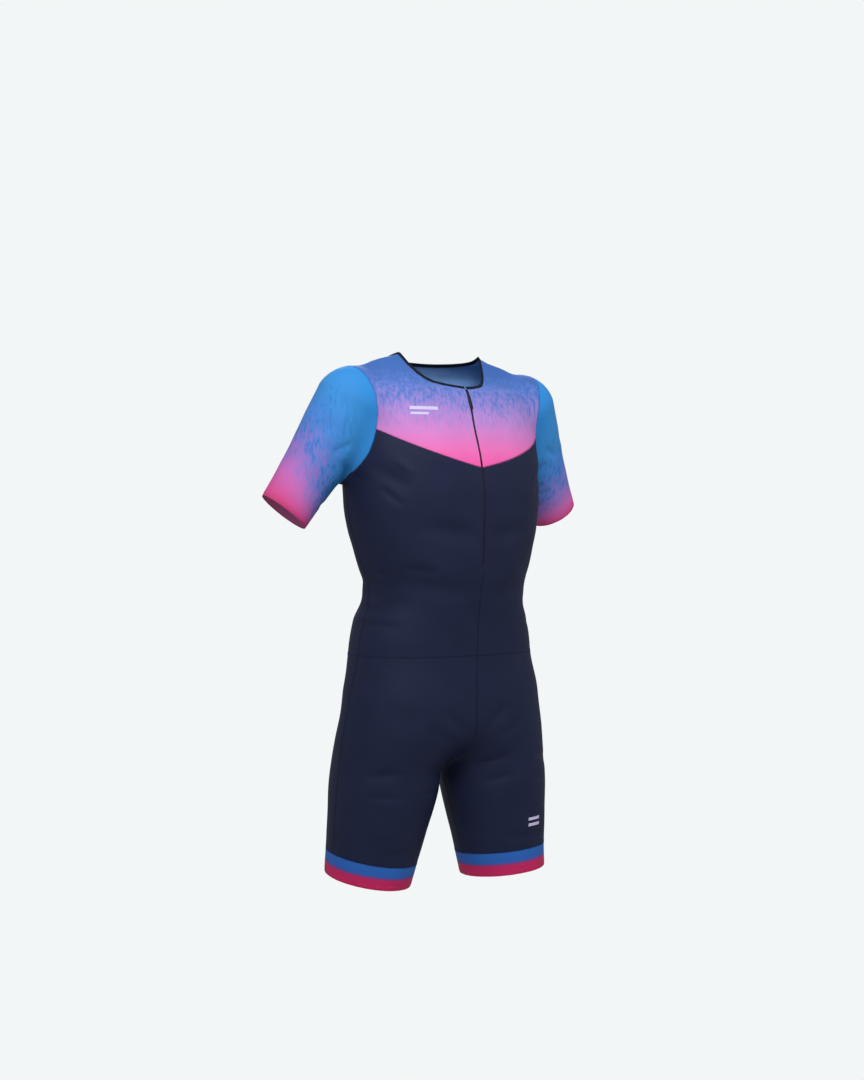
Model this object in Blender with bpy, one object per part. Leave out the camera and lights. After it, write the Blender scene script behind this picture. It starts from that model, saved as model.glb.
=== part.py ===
"""Short-sleeved triathlon suit in its worn shape, empty, with every sewn piece as its own solid.

Units are metres. +Z is up and the suit's front faces -Y, so its right side is at -X. The origin
lies between the shoulder seams, where a wearer holds the suit up.

The body under the cloth is one smooth closed form: a torso through level sections, two sleeves and
two legs round straight axes. Every piece of cloth is a wall on that form. Its outer points are
where rays, swept from one seam to the next, leave the form, and its inner points lie one wall
thickness further in. Neighbouring pieces share the stations of their seam.
"""

import math
from collections import namedtuple

import bmesh
import bpy
import numpy as np

MM = 0.001
RIGHT = -1
LEFT = 1
SIDE_NAMES = {RIGHT: "right", LEFT: "left"}
FRONT = -1
BACK = 1

# Cloth
WALL = 1.6 * MM
SEAM_GAP = 0.3 * MM

# Level sections of the torso, from the neck down, in millimetres
TorsoSection = namedtuple("TorsoSection", "height half_width front back squareness")
TORSO_SECTIONS = (
    TorsoSection(90, 58, 4, 46, 2.00),
    TorsoSection(45, 68, 5, 50, 2.00),
    TorsoSection(31, 92, 9, 62, 2.00),
    TorsoSection(17, 138, 18, 77, 2.03),
    TorsoSection(5, 156, 29, 86, 2.07),
    TorsoSection(-18, 168, 53, 92, 2.15),
    TorsoSection(-30, 173, 74, 97, 2.20),
    TorsoSection(-45, 177, 82, 104, 2.25),
    TorsoSection(-100, 181, 100, 112, 2.35),
    TorsoSection(-160, 183, 119, 114, 2.35),
    TorsoSection(-215, 181, 126, 111, 2.30),
    TorsoSection(-267, 174, 125, 102, 2.30),
    TorsoSection(-301, 165, 124, 90, 2.30),
    TorsoSection(-345, 153, 121, 80, 2.30),
    TorsoSection(-380, 147, 115, 90, 2.30),
    TorsoSection(-422, 158, 109, 118, 2.30),
    TorsoSection(-470, 167, 106, 119, 2.30),
    TorsoSection(-526, 167, 105, 98, 2.30),
    TorsoSection(-580, 168, 105, 88, 2.30),
    TorsoSection(-640, 175, 100, 96, 2.30),
    TorsoSection(-690, 178, 92, 96, 2.30),
)
SEAT_HEIGHT = -0.640
SEAT_ROUNDING = 0.060
TORSO_CORE = 0.3

# Round sections of a sleeve and of a leg, by the distance along their axes, in millimetres
TubeSection = namedtuple("TubeSection", "distance radius")
SLEEVE_SECTIONS = (
    TubeSection(0, 66),
    TubeSection(60, 59),
    TubeSection(120, 51),
    TubeSection(180, 46),
    TubeSection(230, 43.5),
)
LEG_SECTIONS = (
    TubeSection(-40, 82),
    TubeSection(60, 88),
    TubeSection(130, 92),
    TubeSection(200, 85),
    TubeSection(260, 77.5),
    TubeSection(330, 70.5),
)

# A limb's axis: its start on the +X side, and how far it leans outwards and backwards, in degrees.
# The left shoulder is held a little higher than the right, and the left leg is a step ahead.
Limb = namedtuple("Limb", "start out back")
SLEEVE_LIMBS = {
    RIGHT: Limb((0.174, 0.008, -0.060), 31.5, 12.0),
    LEFT: Limb((0.173, 0.008, -0.052), 31.0, 12.0),
}
LEG_LIMBS = {
    RIGHT: Limb((0.086, 0.008, -0.560), 7.6, 6.0),
    LEFT: Limb((0.092, 0.004, -0.560), 4.0, -5.0),
}
LEG_DEPTH_RATIO = 1.07
LEG_BLEND = 0.030
HIP_BLEND = 0.050
SHOULDER_BLEND = 0.022

# The largest folds: soft troughs between two points, on the unrolled torso, deepest half way.
# An angle of 0 is the centre front, 90 the left side, -90 the right. Widths and depths are in mm.
Fold = namedtuple("Fold", "angle_a height_a angle_b height_b width depth")
FOLDS = (
    Fold(-52, -0.262, -2, -0.280, 15, 3.6),
    Fold(4, -0.281, 46, -0.262, 15, 3.2),
    Fold(-76, -0.346, -6, -0.372, 18, 3.8),
    Fold(10, -0.374, 74, -0.350, 18, 3.4),
    Fold(-118, -0.346, -62, -0.366, 12, 3.6),
    Fold(-112, -0.404, -54, -0.390, 12, 3.0),
    Fold(118, -0.348, 62, -0.368, 12, 3.6),
    Fold(112, -0.406, 56, -0.392, 12, 3.0),
    Fold(112, -0.350, 178, -0.378, 17, 4.2),
    Fold(-114, -0.354, -178, -0.374, 17, 4.2),
    Fold(126, -0.400, 176, -0.414, 14, 3.0),
    Fold(-124, -0.404, -178, -0.412, 14, 3.0),
    Fold(-76, -0.158, -52, -0.204, 12, 3.6),
    Fold(76, -0.158, 52, -0.204, 12, 3.6),
)
FOLD_RADIUS = 0.150

# Neckline seen from above: an oval round a centre set a little behind the origin, worn a little
# to the right. A front power above 1 draws its front from an oval towards a V.
NECK_CENTRE_Y = 0.020
NECK_HALF_WIDTHS = {RIGHT: 0.0960, LEFT: 0.0865}
NECK_FRONT = 0.0935
NECK_FRONT_POWER = 1.3
NECK_BACK = 0.050
NECK_RAY_START = -0.100

# Armhole seam: rays from one point in the shoulder, in a plane that bows outwards.
# Its angle is 0 under the arm, 90 at the front, 180 on the shoulder, 270 at the back.
ARMHOLE_CENTRE = (0.165, 0.018, -0.090)
ARMHOLE_BOW = 0.25
ARMHOLE_LEAN = 0.03
YOKE_ANGLE = 80.0
NECK_ROW_ANGLE = 108.0
SHOULDER_ANGLE = 180.0
CUFF_DISTANCE = 0.2125
CUFF_TILT = 0.10

# Heights on the centre lines
YOKE_FRONT_HEIGHT = -0.163
YOKE_BACK_HEIGHT = -0.125
WAIST_HEIGHT = -0.477
SIDE_TOP_DROP = 0.022
CROTCH_PIVOT = (0.0, 0.012, -0.565)
BAND_TOP_DISTANCE = 0.262
HEM_DISTANCE = 0.302

# Stations: how many steps each piece has across and along
ACROSS = 12
YOKE_STEPS_CENTRE = 5
YOKE_STEPS_NECK = 6
ARMHOLE_STEPS_BODY = 5
SIDE_STEPS = 11
HIP_STEPS_LEVEL = 3
HIP_STEPS = 7
THIGH_STEPS = 7
BAND_STEPS = 2
SLEEVE_STEPS = 9
ZIP_STEPS_BODY = 8

# Ray casting
RAY_START = 0.004
RAY_STEP = 0.010
RAY_LENGTH = 0.400
HALVINGS = 20
SWEEP_STEPS = 48
SLOPE_STEP = 0.5 * MM
YOKE_RAYS_CHEST = (0.0, 0.0, -0.115)
YOKE_RAYS_SHOULDER = (0.125, 0.005, -0.090)
WAIST_RAYS_OUT = 0.060

# Neck binding
BINDING_HEIGHT = 7.5 * MM
BINDING_OUT = 0.3 * MM
BINDING_IN = 2.0 * MM
BINDING_UPRIGHT = 0.6

# Zip
ZIP_HALF_GAP = 3.0 * MM
TAPE_HALF_WIDTH = 11.0 * MM
TAPE_THICKNESS = 0.8 * MM
TAPE_DEPTH = WALL + 0.6 * MM
SLIDER_DROP = 15.0 * MM
SLIDER_WIDTH = 5.2 * MM
SLIDER_LENGTH = 9.0 * MM
SLIDER_CORNER = 1.5 * MM
SLIDER_BASE = 1.9 * MM
SLIDER_TOP = 0.9 * MM
BRIDGE_WIDTH = 1.6 * MM
BRIDGE_LENGTH = 5.4 * MM
BRIDGE_BAR = 0.9 * MM
BRIDGE_RISE = 3.1 * MM
TAB_LENGTH = 24.0 * MM
TAB_WIDTH = 5.0 * MM
TAB_THICKNESS = 1.2 * MM
TAB_CORNER = 1.4 * MM
TAB_LEAN = 2.5
TAB_EYE_START = 0.5 * MM
TAB_EYE_END = 3.9 * MM
TAB_EYE_WIDTH = 2.4 * MM
CORNER_STEPS = 4
SHARP_ANGLE = 40

# Finishes, with linear colours
Finish = namedtuple("Finish", "name colour roughness metallic")
NAVY_LYCRA = Finish("navy_lycra", (0.017, 0.019, 0.048), 0.62, 0.0)
PRINTED_LYCRA = Finish("printed_lycra", (0.20, 0.20, 0.56), 0.60, 0.0)
PRINTED_SLEEVE = Finish("printed_sleeve_lycra", (0.06, 0.27, 0.65), 0.60, 0.0)
BAND_ELASTIC = Finish("band_elastic", (0.35, 0.03, 0.14), 0.55, 0.0)
BINDING_ELASTIC = Finish("neck_binding_elastic", (0.010, 0.012, 0.030), 0.60, 0.0)
TAPE_POLYESTER = Finish("zip_tape_polyester", (0.008, 0.009, 0.016), 0.75, 0.0)
SLIDER_LACQUER = Finish("zip_slider_lacquer", (0.020, 0.020, 0.026), 0.35, 0.6)
TAB_RUBBER = Finish("zip_tab_rubber", (0.015, 0.015, 0.020), 0.55, 0.0)


# ---------------------------------------------------------------- small helpers


def unit(vectors):
    """Vectors of length one."""
    vectors = np.asarray(vectors, float)
    return vectors / np.linalg.norm(vectors, axis=-1, keepdims=True)


def smooth_curve(places, values):
    """A smooth function through the given values that never overshoots them."""
    order = np.argsort(places)
    x = np.asarray(places, float)[order]
    y = np.asarray(values, float)[order]
    step = np.diff(x)
    rise = np.diff(y) / step
    slope = np.concatenate(([rise[0]], np.zeros(len(x) - 2), [rise[-1]]))
    for i in range(1, len(x) - 1):
        if rise[i - 1] * rise[i] > 0:
            before = 2 * step[i] + step[i - 1]
            after = step[i] + 2 * step[i - 1]
            slope[i] = (before + after) / (before / rise[i - 1] + after / rise[i])

    def curve(at):
        at = np.clip(at, x[0], x[-1])
        i = np.clip(np.searchsorted(x, at, side="right") - 1, 0, len(x) - 2)
        t = (at - x[i]) / step[i]
        start = (1 + 2 * t) * (1 - t) ** 2 * y[i] + t * (1 - t) ** 2 * step[i] * slope[i]
        end = t * t * (3 - 2 * t) * y[i + 1] - t * t * (1 - t) * step[i] * slope[i + 1]
        return start + end

    return curve


def column(rows, name, scale=1.0):
    """One named column of a table."""
    return np.array([getattr(row, name) for row in rows], float) * scale


def blend(a, b, width):
    """The smaller of two distances, rounded where they meet."""
    share = np.maximum(width - np.abs(a - b), 0) / width
    return np.minimum(a, b) - share * share * width / 4


# ---------------------------------------------------------------- the form under the cloth

TORSO_HEIGHTS = column(TORSO_SECTIONS, "height", MM)
HALF_WIDTH_AT = smooth_curve(TORSO_HEIGHTS, column(TORSO_SECTIONS, "half_width", MM))
FRONT_AT = smooth_curve(TORSO_HEIGHTS, column(TORSO_SECTIONS, "front", MM))
BACK_AT = smooth_curve(TORSO_HEIGHTS, column(TORSO_SECTIONS, "back", MM))
SQUARENESS_AT = smooth_curve(TORSO_HEIGHTS, column(TORSO_SECTIONS, "squareness"))
SLEEVE_RADIUS_AT = smooth_curve(
    column(SLEEVE_SECTIONS, "distance", MM), column(SLEEVE_SECTIONS, "radius", MM)
)
LEG_RADIUS_AT = smooth_curve(
    column(LEG_SECTIONS, "distance", MM), column(LEG_SECTIONS, "radius", MM)
)


def limb_axis(limb, side):
    """Start and direction of a sleeve's or a leg's axis."""
    start = np.array(limb.start) * (side, 1, 1)
    out = math.tan(math.radians(limb.out))
    back = math.tan(math.radians(limb.back))
    return start, unit((side * out, back, -1.0))


def torso_distance(points):
    """How far points lie outside the torso, measured level, and negative inside."""
    x, y, z = points[..., 0], points[..., 1], points[..., 2]
    depth = np.where(y < 0, FRONT_AT(z), BACK_AT(z))
    power = SQUARENESS_AT(z)
    size = (np.abs(x / HALF_WIDTH_AT(z)) ** power + np.abs(y / depth) ** power) ** (1 / power)
    level = np.where(
        size < TORSO_CORE,
        (TORSO_CORE - 1) * np.minimum(HALF_WIDTH_AT(z), depth),
        np.hypot(x, y) * (1 - 1 / np.maximum(size, TORSO_CORE)),
    )
    return -blend(-level, z - SEAT_HEIGHT, SEAT_ROUNDING)


def tube_distance(points, limb, side, radius_at, depth_ratio=1.0):
    """How far points lie outside a tapered tube round a limb's axis."""
    start, direction = limb_axis(limb, side)
    offset = points - start
    along = offset @ direction
    across = (offset - np.maximum(along, 0)[..., None] * direction) / (1, depth_ratio, 1)
    return np.linalg.norm(across, axis=-1) - radius_at(along)


def fold_depth(points):
    """How deep the folds press the cloth in, as the sum of soft troughs."""
    angle = np.arctan2(points[..., 0], -points[..., 1])
    flat = np.stack((angle * FOLD_RADIUS, points[..., 2]), -1)
    depth = np.zeros(points.shape[:-1])
    for fold in FOLDS:
        a = np.array((math.radians(fold.angle_a) * FOLD_RADIUS, fold.height_a))
        b = np.array((math.radians(fold.angle_b) * FOLD_RADIUS, fold.height_b))
        share = np.clip((flat - a) @ (b - a) / ((b - a) @ (b - a)), 0, 1)
        away = np.linalg.norm(flat - a - share[..., None] * (b - a), axis=-1)
        swell = 4 * share * (1 - share)
        depth += fold.depth * MM * swell * np.exp(-((away / (fold.width * MM)) ** 2))
    return depth


def body_distance(points):
    """Signed distance-like value of the whole form: zero on the cloth's outer face."""
    legs = [
        tube_distance(points, LEG_LIMBS[side], side, LEG_RADIUS_AT, LEG_DEPTH_RATIO)
        for side in (RIGHT, LEFT)
    ]
    form = blend(torso_distance(points), blend(*legs, LEG_BLEND), HIP_BLEND)
    for side in (RIGHT, LEFT):
        sleeve = tube_distance(points, SLEEVE_LIMBS[side], side, SLEEVE_RADIUS_AT)
        form = blend(form, sleeve, SHOULDER_BLEND)
    return form + fold_depth(points)


def outward(points):
    """Unit normals of the form at points on it."""
    slopes = [
        body_distance(points + step) - body_distance(points - step)
        for step in np.eye(3) * SLOPE_STEP
    ]
    return unit(np.stack(slopes, -1))


def no_limit(points):
    """A limit that no point passes."""
    return np.full(points.shape[:-1], -1.0)


def cast(origins, directions, limit=no_limit):
    """Where rays from inside the form first leave it, or pass where limit turns positive."""

    def beyond(points):
        return np.maximum(body_distance(points), limit(points)) > 0

    directions = unit(directions)
    origins = np.broadcast_to(np.asarray(origins, float), directions.shape)
    inside = np.full(directions.shape[:-1], RAY_START)
    going = np.ones(inside.shape, bool)
    for reach in np.arange(RAY_START + RAY_STEP, RAY_LENGTH, RAY_STEP):
        still = ~beyond(origins[going] + reach * directions[going])
        going[going] = still
        if not going.any():
            break
        inside[going] = reach
    outside = inside + RAY_STEP
    for _ in range(HALVINGS):
        middle = (inside + outside) / 2
        is_out = beyond(origins + middle[..., None] * directions)
        outside = np.where(is_out, middle, outside)
        inside = np.where(is_out, inside, middle)
    return origins + ((inside + outside) / 2)[..., None] * directions


def sweep_rows(origins, starts, ends, steps, hints=0.0, limit=no_limit):
    """Rows of evenly spaced points on the form, each from start to end, seen from its origin.

    A hint turns the middle of a row's sweep its way, for a row that goes far round.
    """
    origins, starts, ends = (np.asarray(points, float) for points in (origins, starts, ends))
    first = unit(starts - origins)
    last = unit(ends - origins)
    middle = unit(first + last + hints)

    def directions(t):
        t = t[..., None]
        arc = (1 - t) ** 2 * first[:, None] + 2 * t * (1 - t) * middle[:, None]
        return arc + t * t * last[:, None]

    sweep = np.broadcast_to(np.linspace(0, 1, SWEEP_STEPS), (len(origins), SWEEP_STEPS))
    path = cast(origins[:, None], directions(sweep), limit)
    length = np.cumsum(np.linalg.norm(np.diff(path, axis=1), axis=-1), axis=1)
    length = np.concatenate((np.zeros((len(origins), 1)), length), axis=1)
    even = np.array(
        [np.interp(np.linspace(0, row[-1], steps + 1), row, sweep[0]) for row in length]
    )
    rows = cast(origins[:, None], directions(even), limit)
    rows[:, 0] = starts
    rows[:, -1] = ends
    return rows


# ---------------------------------------------------------------- seam lines


def centre_line(side, heights, facing, half_gaps=0.0):
    """Points on the centre front or the centre back."""
    heights = np.asarray(heights, float)
    origins = np.stack((side * half_gaps + 0 * heights, 0 * heights, heights), -1)
    return cast(origins, np.broadcast_to((0.0, facing, 0.0), origins.shape))


def neck_points(side, angles):
    """Points of the neckline: 0 is the centre front, 90 the shoulder, 180 the centre back."""
    angles = np.asarray(angles, float)
    turns = np.radians(angles)
    is_front = angles < 90
    front = NECK_FRONT * np.abs(np.cos(turns)) ** NECK_FRONT_POWER
    least = np.where(is_front, ZIP_HALF_GAP, 0.0)
    x = np.maximum(NECK_HALF_WIDTHS[side] * np.sin(turns), least)
    y = NECK_CENTRE_Y - np.where(is_front, front, NECK_BACK * np.cos(turns))
    origins = np.stack((side * x, y, np.full(x.shape, NECK_RAY_START)), -1)
    return cast(origins, np.broadcast_to((0.0, 0.0, 1.0), origins.shape))


def armhole_directions(side, angles):
    """Directions from the armhole's centre to its seam."""
    turns = np.radians(angles)
    bow = ARMHOLE_BOW * np.cos(turns) ** 2 + ARMHOLE_LEAN * np.cos(turns)
    return unit(np.stack((side * bow, -np.sin(turns), -np.cos(turns)), -1))


def armhole_points(side, angles):
    """Points of the armhole seam."""
    centre = np.array(ARMHOLE_CENTRE) * (side, 1, 1)
    return cast(centre, armhole_directions(side, angles))


def past_armhole(side):
    """A limit that keeps the torso's rays out of a sleeve: the sheet that spans its armhole."""
    centre = np.array(ARMHOLE_CENTRE) * (side, 1, 1)

    def limit(points):
        offset = points - centre
        spread = np.hypot(offset[..., 1], offset[..., 2]) + RAY_START
        cosine = -offset[..., 2] / spread
        return side * offset[..., 0] - spread * (ARMHOLE_BOW * cosine**2 + ARMHOLE_LEAN * cosine)

    return limit


def past_middle(side):
    """A limit that keeps a leg's rays out of the other leg."""
    return lambda points: -side * points[..., 0]


def facing_angles(angles, facing):
    """Armhole angles on the front, or of the same heights on the back."""
    return angles if facing == FRONT else 360.0 - angles


def side_line(side, top):
    """Points of the side seam from under the arm to the waist."""
    share = np.linspace(0, 1, SIDE_STEPS)
    heights = top + share * (WAIST_HEIGHT - top)
    origins = np.stack((0 * share, ARMHOLE_CENTRE[1] * (1 - share) ** 2, heights), -1)
    return cast(origins, np.broadcast_to((float(side), 0.0, 0.0), origins.shape))


def leg_frame(side, distance):
    """Centre of a level on a leg's axis, and its outward and forward directions."""
    start, direction = limb_axis(LEG_LIMBS[side], side)
    centre = start + distance * direction
    out = np.array((float(side), 0.0, 0.0))
    out = unit(out - (out @ direction) * direction)
    front = np.array((0.0, -1.0, 0.0))
    front = front - (front @ direction) * direction
    front = unit(front - (front @ out) * out)
    return centre, out, front


# ---------------------------------------------------------------- grids of the cloth pieces


def yoke_grid(side, facing):
    """Rows from the chest (or back) seam up to the shoulder seam, centre to armhole."""
    bottom = YOKE_FRONT_HEIGHT if facing == FRONT else YOKE_BACK_HEIGHT
    neck_start = 0.0 if facing == FRONT else 180.0
    neck_edge = neck_points(side, np.linspace(neck_start, 90.0, YOKE_STEPS_NECK + 1))
    heights = np.linspace(bottom, neck_edge[0, 2], YOKE_STEPS_CENTRE + 1)
    half_gap = ZIP_HALF_GAP if facing == FRONT else 0.0
    centre_edge = centre_line(side, heights[:-1], facing, half_gap)
    angles = np.concatenate(
        (
            np.linspace(YOKE_ANGLE, NECK_ROW_ANGLE, YOKE_STEPS_CENTRE + 1),
            np.linspace(NECK_ROW_ANGLE, SHOULDER_ANGLE, YOKE_STEPS_NECK + 1)[1:],
        )
    )
    ends = armhole_points(side, facing_angles(angles, facing))
    origins = yoke_origins(side, np.linspace(0, 1, len(angles)))
    starts = np.concatenate((centre_edge, neck_edge))
    return sweep_rows(origins, starts, ends, ACROSS, limit=past_armhole(side))


def yoke_origins(side, shares):
    """Where the rays of yoke rows start: on the axis at the chest, outwards at the shoulder."""
    chest = np.array(YOKE_RAYS_CHEST)
    shoulder = np.array(YOKE_RAYS_SHOULDER)
    return (chest + (shoulder - chest) * shares[:, None] ** (2, 1, 1)) * (side, 1, 1)


def body_grid(side, facing):
    """Rows from the yoke seam down to the waist seam, centre to armhole and side seam."""
    top = YOKE_FRONT_HEIGHT if facing == FRONT else YOKE_BACK_HEIGHT
    steps = ARMHOLE_STEPS_BODY + SIDE_STEPS
    shares = np.linspace(0, 1, steps + 1)
    has_zip = (np.arange(steps + 1) <= ZIP_STEPS_BODY) & (facing == FRONT)
    heights = top + shares * (WAIST_HEIGHT - top)
    starts = centre_line(side, heights, facing, np.where(has_zip, ZIP_HALF_GAP, 0.0))
    angles = np.linspace(YOKE_ANGLE, 0, ARMHOLE_STEPS_BODY + 1)
    armhole = armhole_points(side, facing_angles(angles, facing))
    ends = np.concatenate((armhole, side_line(side, armhole[-1, 2] - SIDE_TOP_DROP)))
    lift = yoke_origins(side, shares[:1])[0, 2] - (top + ends[0, 2]) / 2
    middle = (heights + ends[:, 2]) / 2 + lift * (1 - shares) ** 2
    origins = np.stack((0 * middle, 0 * middle, middle), -1)
    return sweep_rows(origins, starts, ends, ACROSS, limit=past_armhole(side))


def centre_seam(facing):
    """Points of the centre seam from the waist down to the crotch."""
    pivot = np.array(CROTCH_PIVOT)
    k = np.arange(HIP_STEPS + 1)
    level = np.minimum(k / HIP_STEPS_LEVEL, 1)[:, None]
    origins = np.array((0, 0, WAIST_HEIGHT)) * (1 - level) + pivot * level
    past = np.maximum(k - HIP_STEPS_LEVEL, 0) / (HIP_STEPS - HIP_STEPS_LEVEL)
    turns = past * math.pi / 2
    return cast(origins, np.stack((0 * turns, facing * np.cos(turns), -np.sin(turns)), -1))


def shorts_grid(side, facing):
    """Rows from the waist seam down to the leg band, centre seam and inseam to side seam."""
    seam = centre_seam(facing)
    crotch = seam[-1]
    start, direction = limb_axis(LEG_LIMBS[side], side)
    crotch_distance = (crotch - start) @ direction
    crotch_centre, crotch_out, front = leg_frame(side, crotch_distance)
    waist = np.array((side * WAIST_RAYS_OUT, 0.0, WAIST_HEIGHT))
    share = np.linspace(0, 1, HIP_STEPS + 1)[:, None]
    origins = waist + share * (crotch_centre - waist)
    outer_way = (1 - share) * np.array((float(side), 0.0, 0.0)) + share * crotch_out
    hints = (1 - share) * np.array((0.0, facing, 0.0)) - share * facing * front
    hip = sweep_rows(origins, seam, cast(origins, outer_way), ACROSS, hints, past_middle(side))
    share = np.linspace(0, 1, THIGH_STEPS + 1)[1:, None]
    distances = crotch_distance + share[:, 0] * (BAND_TOP_DISTANCE - crotch_distance)
    inner_way = (1 - share) * unit(crotch - crotch_centre) - share * crotch_out
    return np.concatenate((hip, leg_rows(side, facing, distances, inner_way)))


def leg_rows(side, facing, distances, inner_way=None):
    """Half rings round a leg, from its inner line past its front or back to the side seam."""
    start, out, front = leg_frame(side, 0.0)
    direction = limb_axis(LEG_LIMBS[side], side)[1]
    centres = start + np.asarray(distances)[:, None] * direction
    outer_way = np.broadcast_to(out, centres.shape)
    limit = past_middle(side)
    inner = cast(centres, -outer_way if inner_way is None else inner_way, limit)
    return sweep_rows(centres, inner, cast(centres, outer_way), ACROSS, -facing * front, limit)


def band_grid(side):
    """Rings of the leg band, from its seam to the hem."""
    distances = np.linspace(BAND_TOP_DISTANCE, HEM_DISTANCE, BAND_STEPS + 1)
    front = leg_rows(side, FRONT, distances)
    back = leg_rows(side, BACK, distances)
    return np.concatenate((front, back[:, -2:0:-1]), axis=1)


def armhole_angles():
    """Stations of the armhole seam, the same as the ends of the rows that meet it."""
    body = np.linspace(0, YOKE_ANGLE, ARMHOLE_STEPS_BODY + 1)
    chest = np.linspace(YOKE_ANGLE, NECK_ROW_ANGLE, YOKE_STEPS_CENTRE + 1)
    shoulder = np.linspace(NECK_ROW_ANGLE, SHOULDER_ANGLE, YOKE_STEPS_NECK + 1)
    front = np.concatenate((body, chest[1:], shoulder[1:]))
    return np.concatenate((front, 360.0 - front[-2:0:-1]))


def sleeve_grid(side):
    """Rings of a sleeve, from the armhole seam to the cuff."""
    axis_start, axis = limb_axis(SLEEVE_LIMBS[side], side)
    shoulder = np.array(ARMHOLE_CENTRE) * (side, 1, 1)
    cuff = axis_start + CUFF_DISTANCE * axis
    inner = np.array((-float(side), 0.0, 0.0))
    inner = unit(inner - (inner @ axis) * axis)
    front = -side * np.cross(axis, inner)
    angles = armhole_angles()
    at_armhole = armhole_directions(side, angles)
    turns = np.radians(angles)[:, None]
    at_cuff = np.cos(turns) * (inner + CUFF_TILT * axis) + np.sin(turns) * front
    share = np.linspace(0, 1, SLEEVE_STEPS + 1)[:, None, None]
    turned = share**2
    directions = (1 - turned) * at_armhole + turned * at_cuff
    return cast(shoulder + share * (cuff - shoulder), directions)


# ---------------------------------------------------------------- walls


def grid_quads(grid, closed=False):
    """Corner indices of the quads of a grid, open or wrapped across its columns."""
    rows, columns = grid.shape[:2]
    index = np.arange(rows * columns).reshape(rows, columns)
    if closed:
        index = np.concatenate((index, index[:, :1]), axis=1)
    corners = (index[:-1, :-1], index[1:, :-1], index[1:, 1:], index[:-1, 1:])
    return np.stack(corners, -1).reshape(-1, 4)


def one_piece(grid, closed=False):
    """Points and quads of a piece that is one grid."""
    return grid.reshape(-1, 3), grid_quads(grid, closed)


def both_halves(half_grid, shared_rows):
    """Points and quads of a back piece: two halves that share the start of their first column."""
    left = half_grid(LEFT, BACK)
    right = half_grid(RIGHT, BACK)
    points = np.concatenate((left.reshape(-1, 3), right.reshape(-1, 3)))
    count = len(points) // 2
    place = np.arange(2 * count)
    centre = np.arange(shared_rows) * left.shape[1]
    place[centre + count] = centre
    quads = grid_quads(left)
    quads = place[np.concatenate((quads, quads + count))]
    used, packed = np.unique(quads, return_inverse=True)
    return points[used], packed.reshape(-1, 4)


def open_edges(quads):
    """Edges that belong to one quad only, each with that quad."""
    owners = {}
    for quad in quads.tolist():
        for a, b in zip(quad, quad[1:] + quad[:1]):
            owners.setdefault((min(a, b), max(a, b)), []).append(quad)
    return [(*edge, held[0]) for edge, held in owners.items() if len(held) == 1]


def drawn_in(points, quads):
    """The points, with a piece's open edges drawn in on the cloth by half a seam gap."""
    normal = outward(points)
    inward = {}
    for a, b, quad in open_edges(quads):
        way = unit(np.cross(normal[a] + normal[b], points[b] - points[a]))
        way *= np.sign(way @ (points[quad].mean(axis=0) - points[a]))
        for corner in (a, b):
            inward.setdefault(corner, []).append(way)
    drawn = points.copy()
    for corner, (one, other) in inward.items():
        drawn[corner] += (one + other) / (1 + one @ other) * SEAM_GAP / 2
    return drawn


def wall_mesh(name, outer, inner, quads):
    """A closed wall between two layers of points with the same quads.

    A quad of the rim is split by its shorter diagonal, as the rim of a neighbouring piece is.
    """
    count = len(outer)
    points = np.concatenate((outer, inner))
    faces = quads.tolist() + (quads[:, ::-1] + count).tolist()
    for a, b, _ in open_edges(quads):
        across = points[[a, b]] - points[[b + count, a + count]]
        if np.diff(np.linalg.norm(across, axis=-1))[0] < 0:
            a, b = b, a
        faces += [(a, b, b + count), (a, b + count, a + count)]
    mesh = bpy.data.meshes.new(name)
    mesh.from_pydata(points.tolist(), [], faces)
    shell = bmesh.new()
    shell.from_mesh(mesh)
    bmesh.ops.recalc_face_normals(shell, faces=shell.faces)
    shell.to_mesh(mesh)
    shell.free()
    return mesh


def cloth_wall(name, piece, finish):
    """A piece of cloth: its points as the outer face, one wall thickness deep."""
    points, quads = piece
    outer = drawn_in(points, quads)
    inner = outer - outward(outer) * WALL
    return add_object(name, wall_mesh(name, outer, inner, quads), finish)


# ---------------------------------------------------------------- scene objects


def clear_scene():
    """Remove everything that a new file holds."""
    for item in list(bpy.data.objects):
        bpy.data.objects.remove(item, do_unlink=True)


def finish_material(finish):
    """A plain Principled material of a finish."""
    material = bpy.data.materials.new(finish.name)
    material.use_nodes = True
    shader = material.node_tree.nodes["Principled BSDF"]
    shader.inputs["Base Color"].default_value = (*finish.colour, 1.0)
    shader.inputs["Roughness"].default_value = finish.roughness
    shader.inputs["Metallic"].default_value = finish.metallic
    return material


def add_object(name, mesh, finish):
    """An object of the mesh, smooth shaded over its gentle edges."""
    mesh.shade_smooth()
    mesh.set_sharp_from_angle(angle=math.radians(SHARP_ANGLE))
    item = bpy.data.objects.new(name, mesh)
    item.data.materials.append(finish)
    bpy.context.collection.objects.link(item)
    return item


def prism_mesh(name, outline, low, high, flat_axis):
    """A solid of a flat outline, extruded along X (0) or Y (1) from low to high."""
    mesh = bpy.data.meshes.new(name)
    solid = bmesh.new()
    loops = []
    for level in (low, high):
        points = [
            (level, u, v) if flat_axis == 0 else (u, level, v) for u, v in outline
        ]
        loops.append([solid.verts.new(point) for point in points])
    solid.faces.new(loops[0])
    solid.faces.new(loops[1])
    for i in range(len(outline)):
        k = (i + 1) % len(outline)
        solid.faces.new((loops[0][i], loops[0][k], loops[1][k], loops[1][i]))
    bmesh.ops.recalc_face_normals(solid, faces=solid.faces)
    solid.to_mesh(mesh)
    solid.free()
    return mesh


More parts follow.
